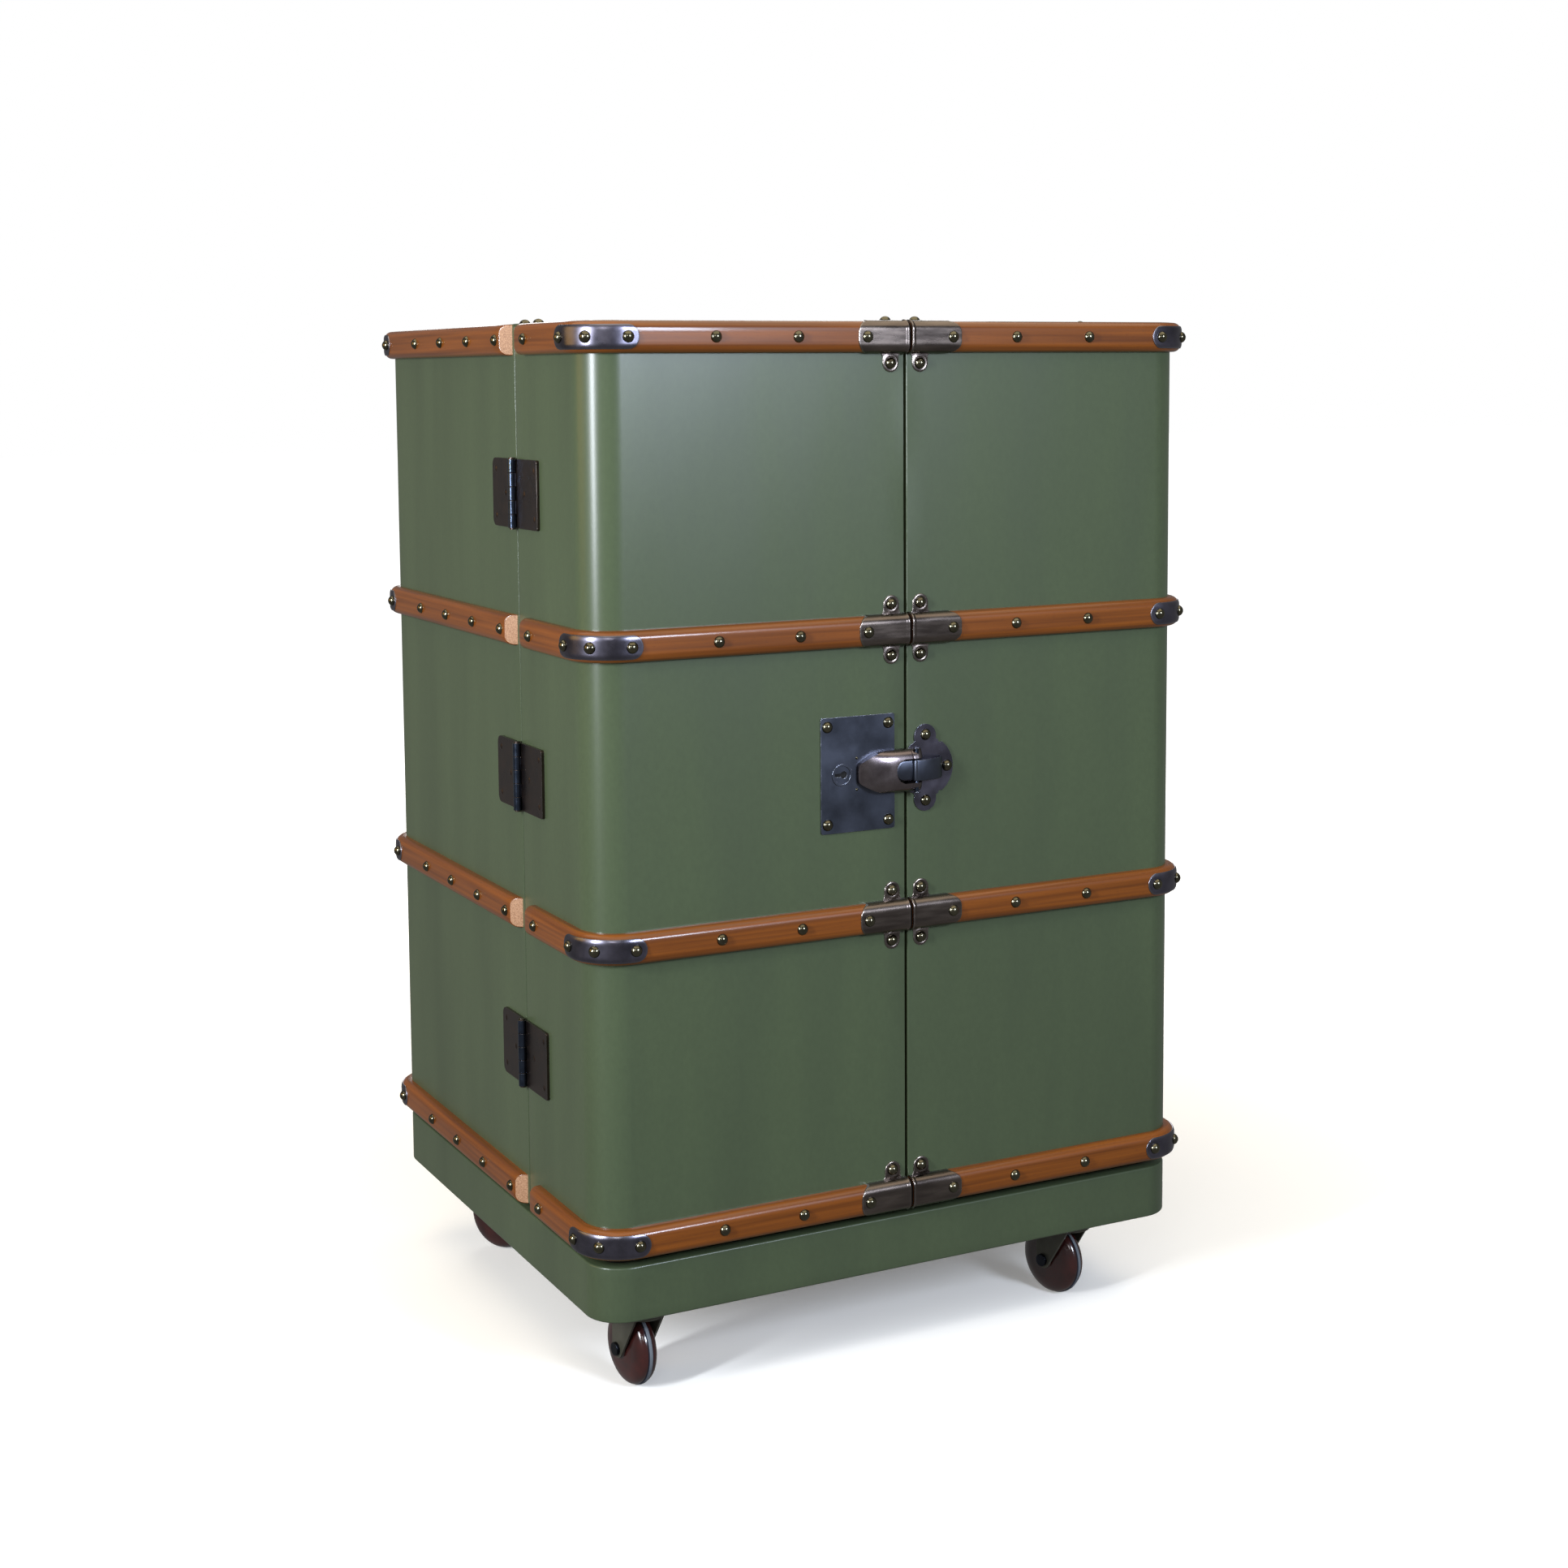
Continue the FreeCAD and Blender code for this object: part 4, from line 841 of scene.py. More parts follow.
# ---------------------------------------------------------------- bands
@dataclass
class BeechBands:
    """Bent beech bands round the shell with their steel corner caps and centre sleeves."""

    plan: ShellPlan
    shape: BandShape
    door_setback: float = 28 * MM
    carcass_setback: float = 6 * MM
    slant: float = 9 * MM
    sheet: float = 1 * MM
    cap_half: float = 11.5 * MM
    sleeve_length: float = 58 * MM
    sleeve_corner: float = 12 * MM
    lip: float = 3 * MM
    ear_width: float = 18 * MM
    ear_x: float = 17 * MM
    ear_rise: float = 26 * MM
    ear_flare: float = 0.35
    flare_reach: float = 7 * MM
    collar_rise: float = 0.7 * MM
    collar_radius: float = 7.4 * MM
    collar_width: float = 1.1 * MM
    sawn_edge: float = 0.9 * MM
    slant_reach: float = 40 * MM

    def band_piece(self, name: str, start: float, end: float, side: Side, slant: float,
                   first_end: Finish = END_GRAIN) -> bpy.types.Object:
        """Four bands of one body: the closed section carried along the plan, with sawn ends.

        Near its ends the station moves back by slant * out / proud, which tilts the sawn face.

        Args:
            name: The piece's name.
            start: First station.
            end: Last station.
            side: RIGHT as walked, LEFT mirrored.
            slant: How much further back the outer face is sawn, at both ends.
            first_end: What the face at the start shows.

        Returns:
            The piece.
        """
        shape = self.shape
        stations, shrink = swept_ends(start, end, self.plan.stations(start, end), self.sawn_edge)
        v = shape.loop()
        s, around = np.meshgrid(stations, v, indexing="ij")
        out, rise = shape.section(around, -shrink[:, None] * np.ones_like(around))
        near_start = np.clip(1 - (s - start) / self.slant_reach, 0, 1)
        near_end = np.clip(1 - (end - s) / self.slant_reach, 0, 1)
        shifted = s + slant * out / shape.proud * (near_start - near_end)
        x, y = self.plan.at(shifted, out)
        columns, rings = len(v), len(stations)
        flat = np.stack([s, around], axis=-1).reshape(-1, 2)
        places, maps, faces, finish = [], [], [], []
        for number, middle in enumerate(shape.middles(self.plan)):
            first = number * columns * rings
            places.append(np.stack([side.value * x, y, rise + middle], axis=-1).reshape(-1, 3))
            grain_start = (number * 0.7 + side.value * 0.35, number * 0.09)     # no two bands alike
            maps.append(flat + grain_start)
            faces += capped_tube(rings, columns, first)
            finish += [0] * (rings - 1) * columns + [2, 1]
        return build_mesh(name, np.concatenate(places), faces, (BEECH, END_GRAIN, first_end),
                          np.array(finish), uv=np.concatenate(maps), sharp=50.0)

    def on_band(self, station: float, middle: float, side: Side) -> Surface:
        """A surface that follows a band: u along it from a station, v round its section."""
        def surface(u: Points, v: Points, lift: Points) -> Points:
            out, rise = self.shape.section(v, lift)
            x, y = self.plan.at(station + u, out)
            return np.stack([side.value * x, y, middle + rise], axis=-1)
        return surface

    def caps(self, name: str, station: float, sides: Sequence[Side]) -> bpy.types.Object:
        """Corner caps: sheet with round ends, bent round the corner at a station."""
        turned = math.asin((self.cap_half - self.shape.flat) / self.shape.shoulder)
        half = self.shape.flat + self.shape.shoulder * turned
        plate = SheetPlate(self.plan.bend + 2 * half, 2 * half, (half,) * 4, self.sheet, along=40, across=1,
                           bow=12)
        caps = SheetSet(name, BLACKED_STEEL)
        for side in sides:
            for middle in self.shape.middles(self.plan):
                caps.lay(plate, self.on_band(station, middle, side))
        return caps.build()

    def sleeves(self, side: Side) -> bpy.types.Object:
        """Centre sleeves of one door with their rolled lip, and an ear above and below each.

        The lip is a half-round bead on the edge beside the middle seam; the ear widens towards its sleeve
        by 1 + flare * t^3, and is raised in a ring round its stud.
        """
        shape, plan = self.shape, self.plan
        plate = SheetPlate(self.sleeve_length, 2 * shape.girth, (0.8 * MM,) * 4, self.sheet,
                           along=24, across=40, step=1.3 * MM)

        def bead(u: Points, v: Points, lift: Points) -> Points:
            edge = (u + self.sleeve_length / 2) / self.lip
            return self.sheet * np.sqrt(np.clip(1 - (2 * edge - 1) ** 2, 0, 1)) * (edge < 1)

        root = shape.height / 2
        reach = self.ear_rise + self.ear_width / 2 - root
        half = self.ear_width / 2
        tab = SheetPlate(reach, self.ear_width, (half, 0.3 * MM, 0.3 * MM, half), 0.9 * self.sheet,
                         along=16, across=8, step=1.1 * MM)

        def collar(u: Points, v: Points, lift: Points) -> Points:
            away = np.hypot(u - (reach / 2 - half), v)
            return self.collar_rise * np.exp(-((away - self.collar_radius) / self.collar_width) ** 2)

        sleeves = SheetSet(f"{side.door}_sleeves", ANTIQUED_STEEL)
        middles = shape.middles(plan)
        for number, middle in enumerate(middles):
            start = plan.door_edge + self.sleeve_length / 2
            sleeves.lay(plate, self.round_ended(self.on_band(start, middle, side), middle), bead)
            for direction in (1, -1):
                folded = number == (len(middles) - 1 if direction > 0 else 0)
                sleeves.lay(tab, self.on_door(middle, direction, reach, folded, side), collar)
        return sleeves.build()

    def round_ended(self, surface: Surface, middle: float) -> Surface:
        """The same surface with its far end pulled back to a rounded outline as seen from the front.

        The pull at height h from the middle is r - sqrt(r^2 - (h - (H/2 - r))^2), weighted by the fourth
        power of the run along the sleeve.
        """
        round_off, flat = self.sleeve_corner, self.shape.height / 2 - self.sleeve_corner

        def eased(u: Points, v: Points, lift: Points) -> Points:
            up = np.abs(surface(u, v, lift)[..., 2] - middle)
            pull = round_off - np.sqrt(round_off ** 2 - np.clip(up - flat, 0, round_off) ** 2)
            return surface(u - pull * np.clip(u / self.sleeve_length + 0.5, 0, 1) ** 4, v, lift)
        return eased

    def on_door(self, middle: float, direction: int, reach: float, folded: bool, side: Side) -> Surface:
        """A flat surface for an ear, on the door's front or folded over its end."""
        plan, root = self.plan, self.shape.height / 2

        def surface(u: Points, v: Points, lift: Points) -> Points:
            from_root = u + reach / 2
            share = np.clip(1 - from_root / self.flare_reach, 0, 1)
            x = side.value * (self.ear_x + v * (1 + self.ear_flare * share ** 3))
            if folded:
                level = plan.top if direction > 0 else plan.bottom
                return np.stack([x, plan.front + from_root, level + direction * lift], axis=-1)
            z = middle + direction * (root + from_root)
            return np.stack([x, plan.front - lift, z], axis=-1)
        return surface

    def build(self) -> None:
        """Bands, caps and sleeves of the carcass and both doors."""
        plan = self.plan
        foot = plan.station(plan.seam + self.carcass_setback)
        far_side = 2 * plan.half_length - foot
        bands = self.band_piece("carcass_beech_bands", foot, far_side, Side.RIGHT, self.slant)
        fit(bands, "carcass", ["carcass_bands"])
        back = plan.run + plan.side + 1.5 * plan.bend
        caps = self.caps("carcass_caps", back, tuple(Side))
        fit(caps, "carcass", ["carcass_corner_caps"])
        end = plan.station(plan.seam - plan.side_gap / 2 - self.door_setback)
        for side in Side:
            # the door bands' ends at the middle seam get the near-black painted shade
            bands = self.band_piece(f"{side.door}_beech_bands", plan.door_edge, end, side, 0.0, PAINTED_SHADE_BOARD)
            fit(bands, side.door, [f"{side.door}_bands"])
            caps = self.caps(f"{side.door}_caps", plan.run + plan.bend / 2, (side,))
            fit(caps, side.door, [f"{side.door}_corner_caps"])
            fit(self.sleeves(side), side.door, [f"{side.door}_centre_sleeves"])


# ---------------------------------------------------------------- nails
@dataclass
class DomedNails:
    """Domed brass nails of every body, at the places where the CAD has them."""

    plan: ShellPlan
    bands: BeechBands
    radius: float = 6 * MM
    height: float = 4.5 * MM
    front: tuple[float, ...] = (49.5 * MM, 126 * MM, 215 * MM)
    back: tuple[float, ...] = (0.0, 84 * MM, 168 * MM, 252 * MM)
    side_first: float = 26 * MM
    side_pitch: float = 84 * MM
    side_count: int = 4
    door_side: float = 54 * MM
    bend_angle: float = 42.0
    seam_plate_x: float = 326 * MM
    seam_plate_off: float = 18 * MM
    sunk: float = 0.3 * MM
    columns: int = 20

    def dome(self) -> tuple[Points, list[list[int]]]:
        """A spherical cap on a short skirt, pointing along +Z, closed below."""
        ball = (self.radius ** 2 + self.height ** 2) / (2 * self.height)
        edge = math.asin(min(1.0, self.radius / ball))
        tilt = np.linspace(math.pi - edge if self.height > ball else edge, 0, 8)
        reach = np.concatenate([[0.0, self.radius * 0.97], ball * np.sin(tilt)])
        rise = np.concatenate([[-self.sunk, -self.sunk], self.height - ball + ball * np.cos(tilt)])
        points = revolved(reach, rise, self.columns)
        return points.reshape(-1, 3), tube_faces(len(reach), self.columns)

    def piece(self, name: str, places: list[tuple[Vector, Vector]]) -> bpy.types.Object:
        """Copies of the dome at places, each turned to its outward direction."""
        dome, faces = self.dome()
        count = len(dome)
        base = np.array([tuple(place) for place, _ in places])
        turns = np.array([Vector((0, 0, 1)).rotation_difference(out).to_matrix() for _, out in places])
        points = np.einsum("nij,pj->npi", turns, dome) + base[:, None, :]
        quads = np.array(faces)[None] + (np.arange(len(places)) * count)[:, None, None]
        return build_mesh(name, points.reshape(-1, 3), quads.reshape(-1, 4).tolist(), (STUD_BRASS,),
                          sharp=60.0)

    def cap_nails(self, side: Side, back: bool, z: float) -> list[tuple[Vector, Vector]]:
        """Three nails in a corner cap: one on each straight end and one on the bend."""
        plan = self.plan
        depth_sign = 1 if back else -1
        centre_y = plan.back - plan.radius if back else plan.front + plan.radius
        reach = plan.radius + self.bands.shape.proud + self.bands.sheet
        nails = []
        for angle in (0.0, math.radians(self.bend_angle), math.pi / 2):
            out = Vector((side.value * math.cos(angle), depth_sign * math.sin(angle), 0))
            nails.append((Vector((side.value * plan.run, centre_y, z)) + reach * out, out))
        return nails

    def door(self, side: Side) -> list[tuple[Vector, Vector]]:
        """Nails of one door: bands, caps, ears and the plate at the side seam."""
        plan, bands = self.plan, self.bands
        toward, face = Vector((0, -1, 0)), plan.front - bands.shape.proud
        outward = Vector((side.value, 0, 0))
        middles = bands.shape.middles(plan)
        nails = []
        for number, z in enumerate(middles):
            for x in self.front:
                under = bands.sheet if x < plan.door_edge + bands.sleeve_length else 0.0
                nails.append((Vector((side.value * x, face - under, z)), toward))
            flank = side.value * (plan.half_width + bands.shape.proud)
            nails.append((Vector((flank, plan.seam - self.door_side, z)), outward))
            nails += self.cap_nails(side, False, z)
            for direction in (1, -1):
                x = side.value * bands.ear_x
                if number == (len(middles) - 1 if direction > 0 else 0):
                    level = plan.top + bands.sheet if direction > 0 else plan.bottom - bands.sheet
                    run = bands.ear_rise - bands.shape.height / 2
                    nails.append((Vector((x, plan.front + run, level)), Vector((0, 0, direction))))
                else:
                    rise = z + direction * bands.ear_rise
                    nails.append((Vector((x, plan.front - bands.sheet, rise)), toward))
        y = plan.seam - plan.side_gap / 2 - self.seam_plate_off
        place = Vector((side.value * self.seam_plate_x, y, plan.top + bands.sheet))
        nails.append((place, Vector((0, 0, 1))))
        return nails

    def carcass(self) -> list[tuple[Vector, Vector]]:
        """Nails of the carcass: sides, back, caps and the plates at the side seams."""
        plan, bands = self.plan, self.bands
        nails = []
        for z in bands.shape.middles(plan):
            for side in Side:
                for number in range(self.side_count):
                    y = plan.seam + self.side_first + number * self.side_pitch
                    x = side.value * (plan.half_width + bands.shape.proud)
                    nails.append((Vector((x, y, z)), Vector((side.value, 0, 0))))
                nails += self.cap_nails(side, True, z)
                for x in self.back[0 if side is Side.RIGHT else 1:]:
                    place = Vector((side.value * x, plan.back + bands.shape.proud, z))
                    nails.append((place, Vector((0, 1, 0))))
        for side in Side:
            y = plan.seam + plan.side_gap / 2 + self.seam_plate_off
            place = Vector((side.value * self.seam_plate_x, y, plan.top + bands.sheet))
            nails.append((place, Vector((0, 0, 1))))
        return nails

    def build(self, latch: "Latch") -> None:
        """One piece of nails for each body."""
        fit(self.piece("carcass_nails", self.carcass()), "carcass", ["carcass_studs"])
        for side in Side:
            places = self.door(side) + latch.nails(side)
            fit(self.piece(f"{side.door}_nails", places), side.door, [f"{side.door}_studs"])


# ---------------------------------------------------------------- softened copies of CAD parts
@dataclass(frozen=True)
class SoftenedPart:
    """A CAD part whose mesh is merged and whose sharp edges are eased, so that they catch the light."""

    node: str
    finish: Finish
    edge_finish: Finish
    slot: str
    width: float = 0.4 * MM
    segments: int = 2
    sharp: float = 35.0

    def build(self, frame: dict[str, Any], body: str) -> bpy.types.Object:
        """Merge a copy of the node, flatten its triangles into faces and bevel the edges."""
        mesh = frame["nodes"][self.node].data.copy()
        mesh.name = self.node + "_eased"
        clean_mesh(mesh, 0.01 * MM, self.sharp, flat=0.8)
        mesh.materials.clear()
        mesh.materials.append(self.finish.build())
        mesh.materials.append(self.edge_finish.build())
        mesh.polygons.foreach_set("material_index", np.zeros(len(mesh.polygons), np.int32))
        piece = add_object(mesh.name, mesh)
        bevel = piece.modifiers.new("eased_edges", "BEVEL")
        bevel.width = self.width
        bevel.segments = self.segments
        bevel.limit_method = "ANGLE"
        bevel.angle_limit = math.radians(self.sharp)
        bevel.harden_normals = True
        bevel.material = 1
        return fit(piece, body, [self.node])


# ---------------------------------------------------------------- latch
@dataclass
class Latch:
    """Lock plate on the left door; hasp plate, strap and swinging hasp on the right one."""

    plan: ShellPlan
    height: float = 621.5 * MM
    plate_thick: float = 1.5 * MM
    lock_x: float = -56.5 * MM
    keyhole_x: float = -76 * MM
    pin_x: float = 6 * MM
    crown: float = 14.7 * MM        # strap's face off the plate
    crown_run: float = 2 * MM       # from the pin to where the curve starts
    roll: float = 4.2 * MM
    foot_x: float = 41 * MM
    strap_thick: float = 2.4 * MM
    strap_half: float = 10.8 * MM
    strap_ease: float = 1.0 * MM
    tip_x: float = -57.9 * MM
    blunt: float = 0.45             # half height of the blunt tip over the full one
    tip_bow: float = 0.03           # bow of the blunt tip over the length of the taper
    shoulder_x: float = -24 * MM
    full_past: float = 8 * MM       # how far past the shoulder the face stands fully off
    arm_x: float = 14 * MM
    roll_out: float = 8.2 * MM
    window_x: float = -7 * MM
    hasp_half: float = 22 * MM
    arm: float = 9.5 * MM
    hasp_edge: float = 3.0 * MM
    hasp_deep: float = 14.1 * MM
    back_y: float = -304.6 * MM
    groove_off: float = 5.5 * MM
    groove_width: float = 0.5 * MM
    groove_deep: float = 0.5 * MM
    tongue_off: float = 7 * MM
    tongue_trim: float = 0.1 * MM
    tongue_bow: float = 1.2 * MM
    rivet_x: float = -58 * MM
    rivet_up: float = 16 * MM
    lock_nail: tuple[float, float] = (35 * MM, 49.7 * MM)
    hasp_nails: tuple[tuple[float, float], ...] = (
        (22.5 * MM, 34 * MM), (22.5 * MM, -34 * MM), (48 * MM, 0.0))

    @property
    def crown_x(self) -> float:
        """Where the strap's curve meets its roll."""
        return self.pin_x + self.crown_run

    def nails(self, side: Side) -> list[tuple[Vector, Vector]]:
        """The nails through the lock plate or the hasp plate."""
        face = self.plan.front - self.plate_thick
        if side is Side.LEFT:
            off_x, off_z = self.lock_nail
            spots = [(self.lock_x + sx * off_x, sz * off_z) for sx in (-1, 1) for sz in (-1, 1)]
        else:
            spots = list(self.hasp_nails)
        return [(Vector((x, face, self.height + up)), Vector((0, -1, 0))) for x, up in spots]

    def build(self, frame: dict[str, Any]) -> None:
        """Eased copies of the plates, and the rounded strap and hasp."""
        for node, body, finish in (("lock_plate", "left_door", BLUED_STEEL),
                                   ("keyhole_collar", "left_door", BLUED_STEEL),
                                   ("hasp_plate", "right_door", BLACKED_STEEL),
                                   ("hasp_pin", "right_door", KNUCKLE_STEEL)):
            SoftenedPart(node, finish, BLUED_EDGE, "lock_steel", 0.35 * MM).build(frame, body)
        fit(self.strap(), "right_door", ["hasp_strap"])
        fit(self.tongue(), "right_door")
        fit(self.hasp(), "hasp", ["hasp_body"])
        fit(self.keyhole_dark(), "left_door")
        bands = BeechBands(self.plan, BandShape())
        rivets = DomedNails(self.plan, bands, radius=1.5 * MM, height=0.7 * MM)
        face = self.plan.front - self.plate_thick
        spots = [(Vector((self.rivet_x, face, self.height + up)), Vector((0, -1, 0)))
                 for up in (-self.rivet_up, self.rivet_up)]
        fit(rivets.piece("latch_rivets", spots), "left_door")

    def keyhole_dark(self) -> bpy.types.Object:
        """A dark plate under the keyhole, so that the hole looks deep."""
        def behind(u: Points, v: Points, lift: Points) -> Points:
            return np.stack([self.keyhole_x + u, self.plan.front - lift, self.height + v], axis=-1)
        dark = SheetSet("keyhole_dark", DEEP_SHADE)
        dark.lay(SheetPlate(20 * MM, 10 * MM, (1 * MM,) * 4, 0.3 * MM, step=5 * MM), behind)
        return dark.build()

    def tongue(self) -> bpy.types.Object:
        """The strap's round tongue that fills the hasp's window; its face bows by (v / half height)^2."""
        half = self.strap_half - self.tongue_trim
        end = self.window_x - half

        def face(u: Points, v: Points, lift: Points) -> Points:
            x = (end + self.crown_x) / 2 + u
            y = self.back_y - self.tongue_off - lift + self.tongue_bow * (v / half) ** 2
            return np.stack([x, y, self.height + v], axis=-1)
        plates = SheetSet("hasp_strap_tongue", BLUED_STEEL)
        plates.lay(SheetPlate(self.crown_x - end, 2 * half, (0.5 * MM, half, half, 0.5 * MM),
                              self.strap_thick, step=1.5 * MM), face)
        return plates.build()

    def strap(self) -> bpy.types.Object:
        """The strap: a quarter ellipse from the plate up to the crown, then a roll round the pin.

        The closed line is carried up the strap's height, with its two long edges rounded by the inset
        0.9 r(1 - cos a) at height r(1 - sin a) from each end.
        """
        turn = np.radians(np.linspace(0, 90, 22))
        reach, deep = self.foot_x - self.crown_x, self.crown
        ellipse = np.column_stack([self.crown_x + reach * np.cos(turn), deep * np.sin(turn)])
        roll = np.radians(np.linspace(90, 300, 20))
        round_pin = np.column_stack([self.pin_x + self.roll * np.cos(roll),
                                     deep - self.roll + self.roll * np.sin(roll)])
        inner_reach, inner_deep = reach - self.strap_thick, deep - self.strap_thick
        back = np.column_stack([self.crown_x + inner_reach * np.cos(turn[::-1]),
                                inner_deep * np.sin(turn[::-1])])
        line = np.concatenate([ellipse, round_pin, back])
        centre = np.concatenate([np.full_like(ellipse, (self.crown_x, 0.0)),
                                 np.full_like(round_pin, (self.pin_x, deep - self.roll)), back])
        toward = centre - line
        size = np.linalg.norm(toward, axis=1, keepdims=True)
        toward = np.divide(toward, size, out=np.zeros_like(toward), where=size > 0)
        bend = np.radians([90.0, 60.0, 30.0, 0.0])
        from_end = self.strap_ease * (1 - np.sin(bend))
        eased = self.strap_ease * (1 - np.cos(bend))
        rise = np.concatenate([from_end, 2 * self.strap_half - from_end[::-1]])
        inset = np.concatenate([eased, eased[::-1]])
        flat = line[None] + toward[None] * inset[:, None, None] * 0.9
        z = np.broadcast_to((self.height - self.strap_half + rise)[:, None], flat.shape[:2])
        points = np.stack([flat[..., 0], self.plan.front - self.plate_thick - flat[..., 1], z], axis=-1)
        faces = capped_tube(len(rise), len(line))
        return build_mesh("rolled_hasp_strap", points.reshape(-1, 3), faces, (BLUED_STEEL,), sharp=50.0)

    def front_of(self, x: Points, across: Points) -> Points:
        """How far the hasp's face stands off its back.

        It is edge + (full - edge) * sin(90 degrees * run)^0.75 * (1 - |across|^p)^(1/2), where run goes
        from 0 at the tip to 1 a little past the shoulder, and p from 2.2 to 4 with it.
        """
        run = np.clip((x - self.tip_x) / (self.shoulder_x + self.full_past - self.tip_x), 0, 1)
        power = 2.2 + 1.8 * run
        dome = np.sqrt(np.clip(1 - np.abs(across) ** power, 0, 1))
        return self.hasp_edge + (self.hasp_deep - self.hasp_edge) * np.sin(run * math.pi / 2) ** 0.75 * dome

    def hasp_part(self, low: float, high: float, is_arm: bool) -> Points:
        """Rows of one part of the hasp, from its outer edge to the window or from the window to the pin.

        Args:
            low: The part's lower edge, as a share of the half height.
            high: Its upper edge, likewise.
            is_arm: True for an arm, False for the almond.

        Returns:
            (rows, columns, 3) places, each row along the front and back again.
        """
        window = self.hasp_half - self.arm
        across = (low + high) / 2 - (high - low) / 2 * np.cos(np.linspace(0, math.pi, 45))
        v = across[None] * self.hasp_half
        if is_arm:
            first, last = self.window_x - 1 * MM, np.full_like(v, self.arm_x)
        else:
            first = self.tip_line(across)[None]
            last = self.window_x - np.sqrt(np.maximum(window ** 2 - v ** 2, 0))
        x = first + (last - first) * np.linspace(0, 1, 40)[:, None]
        height = self.front_of(x, across[None])
        if is_arm:
            past = np.clip((x - self.pin_x) / self.roll_out, 0, 1)
            height = height - (height - self.hasp_edge) * (1 - np.sqrt(1 - past ** 2 * 0.98))
            groove = np.exp(-((x - self.pin_x + self.groove_off) / self.groove_width) ** 2)
            height = height - self.groove_deep * groove
        z = self.height + np.broadcast_to(v, x.shape)
        front = np.stack([x, self.back_y - height, z], axis=-1)
        back = np.stack([x, np.full_like(x, self.back_y), z], axis=-1)
        return np.concatenate([front, back[:, ::-1]], axis=1)

    def hasp(self) -> bpy.types.Object:
        """The hasp: a domed almond with a round-ended window, and two arms with knuckle grooves.

        One closed slab makes the almond: its rows run from the tip's outline to the window's half circle.
        Two more make the arms beside the window, out to the pin. An arm's face turns in past the pin by
        the share 1 - (1 - 0.98 t^2)^(1/2), where t goes from 0 at the pin to 1 at the roll's outer side.
        """
        window = (self.hasp_half - self.arm) / self.hasp_half
        points, faces, total = [], [], 0
        for low, high, is_arm in ((-1.0, 1.0, False), (window, 1.0, True), (-1.0, -window, True)):
            part = self.hasp_part(low, high, is_arm)
            rows, wide = part.shape[:2]
            points.append(part.reshape(-1, 3))
            faces += slab_faces(rows, wide // 2, total)
            total += rows * wide
        return build_mesh("domed_hasp", np.concatenate(points), faces, (WORN_NICKEL,), sharp=45.0)

    def tip_line(self, across: Points) -> Points:
        """Where a row of the almond starts, |across| being its share of the full half height.

        Above the blunt tip it is shoulder - (1 - bow) length * ((1 - |across|) / (1 - blunt))^0.55; over the
        tip it is shoulder - length * (1 - bow (across / blunt)^4).
        """
        far, side = np.abs(across), 1 - self.tip_bow
        taper = np.clip((1 - far) / (1 - self.blunt), 0, 1) ** 0.55
        tip = side + self.tip_bow * (1 - np.clip(far / self.blunt, 0, 1) ** 4)
        share = np.where(far < self.blunt, tip, side * taper)
        return self.shoulder_x - (self.shoulder_x - self.tip_x) * share


@dataclass
class Hinges:
    """Three butt hinges down each side: leaves with rolled knuckles, and their pins."""

    half_width: float
    seam: float
    pin_out: float = 5 * MM
    radius: float = 4.75 * MM
    height: float = 70 * MM
    pin_head: float = 1.4 * MM
    gap: float = 0.2 * MM
    count: int = 5
    skin: float = 0.6 * MM
    chamfer: float = 0.3 * MM
    columns: int = 28

    def build(self, frame: dict[str, Any]) -> None:
        """Eased copies of leaves and pins, and the polished skin of each rolled knuckle."""
        for node, body in (("carcass_hinge_leaves", "carcass"), ("hinge_pins", "carcass"),
                           ("left_door_hinge_leaves", "left_door"),
                           ("right_door_hinge_leaves", "right_door")):
            SoftenedPart(node, BRONZED_STEEL, BRONZED_EDGE, "hinge_bronze", 0.35 * MM).build(frame, body)
        low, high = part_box("hinge_pins")
        for body, sides, first in (("carcass", tuple(Side), 0), ("left_door", (Side.LEFT,), 1),
                                   ("right_door", (Side.RIGHT,), 1)):
            skins = self.knuckles(f"{body}_knuckles", sides, first, low, high)
            fit(skins, body)

    def knuckles(self, name: str, sides: Sequence[Side], first: int, low: Vector,
                 high: Vector) -> bpy.types.Object:
        """Thin tubes round every second knuckle of each hinge.

        Args:
            name: Name of the new piece.
            sides: The trunk's sides that have them.
            first: 0 for the outer and middle knuckles, 1 for the two between.
            low: Lowest corner of the hinge pins.
            high: Highest corner of the hinge pins.

        Returns:
            The piece.
        """
        middle = (low.z + high.z) / 2
        spread = (high.z - low.z) / 2 - self.height / 2 - self.pin_head
        pitch = self.height / self.count
        inner, eased = self.radius - self.skin, self.radius - self.chamfer
        radii = np.array([inner, eased, self.radius, self.radius, eased, inner])
        points, faces, total = [], [], 0
        for side in sides:
            x = side.value * (self.pin_out + self.half_width)
            for level in (middle - spread, middle, middle + spread):
                for index in range(first, self.count, 2):
                    foot = level - self.height / 2 + index * pitch + self.gap
                    head = foot + pitch - 2 * self.gap
                    z = np.array([foot, foot, foot + self.chamfer, head - self.chamfer, head, head])
                    tube = revolved(radii, z, self.columns) + (x, self.seam, 0.0)
                    points.append(tube.reshape(-1, 3))
                    faces += tube_faces(len(radii), self.columns, total)
                    total += len(radii) * self.columns
        return build_mesh(name, np.concatenate(points), faces, (KNUCKLE_STEEL,), sharp=40.0)


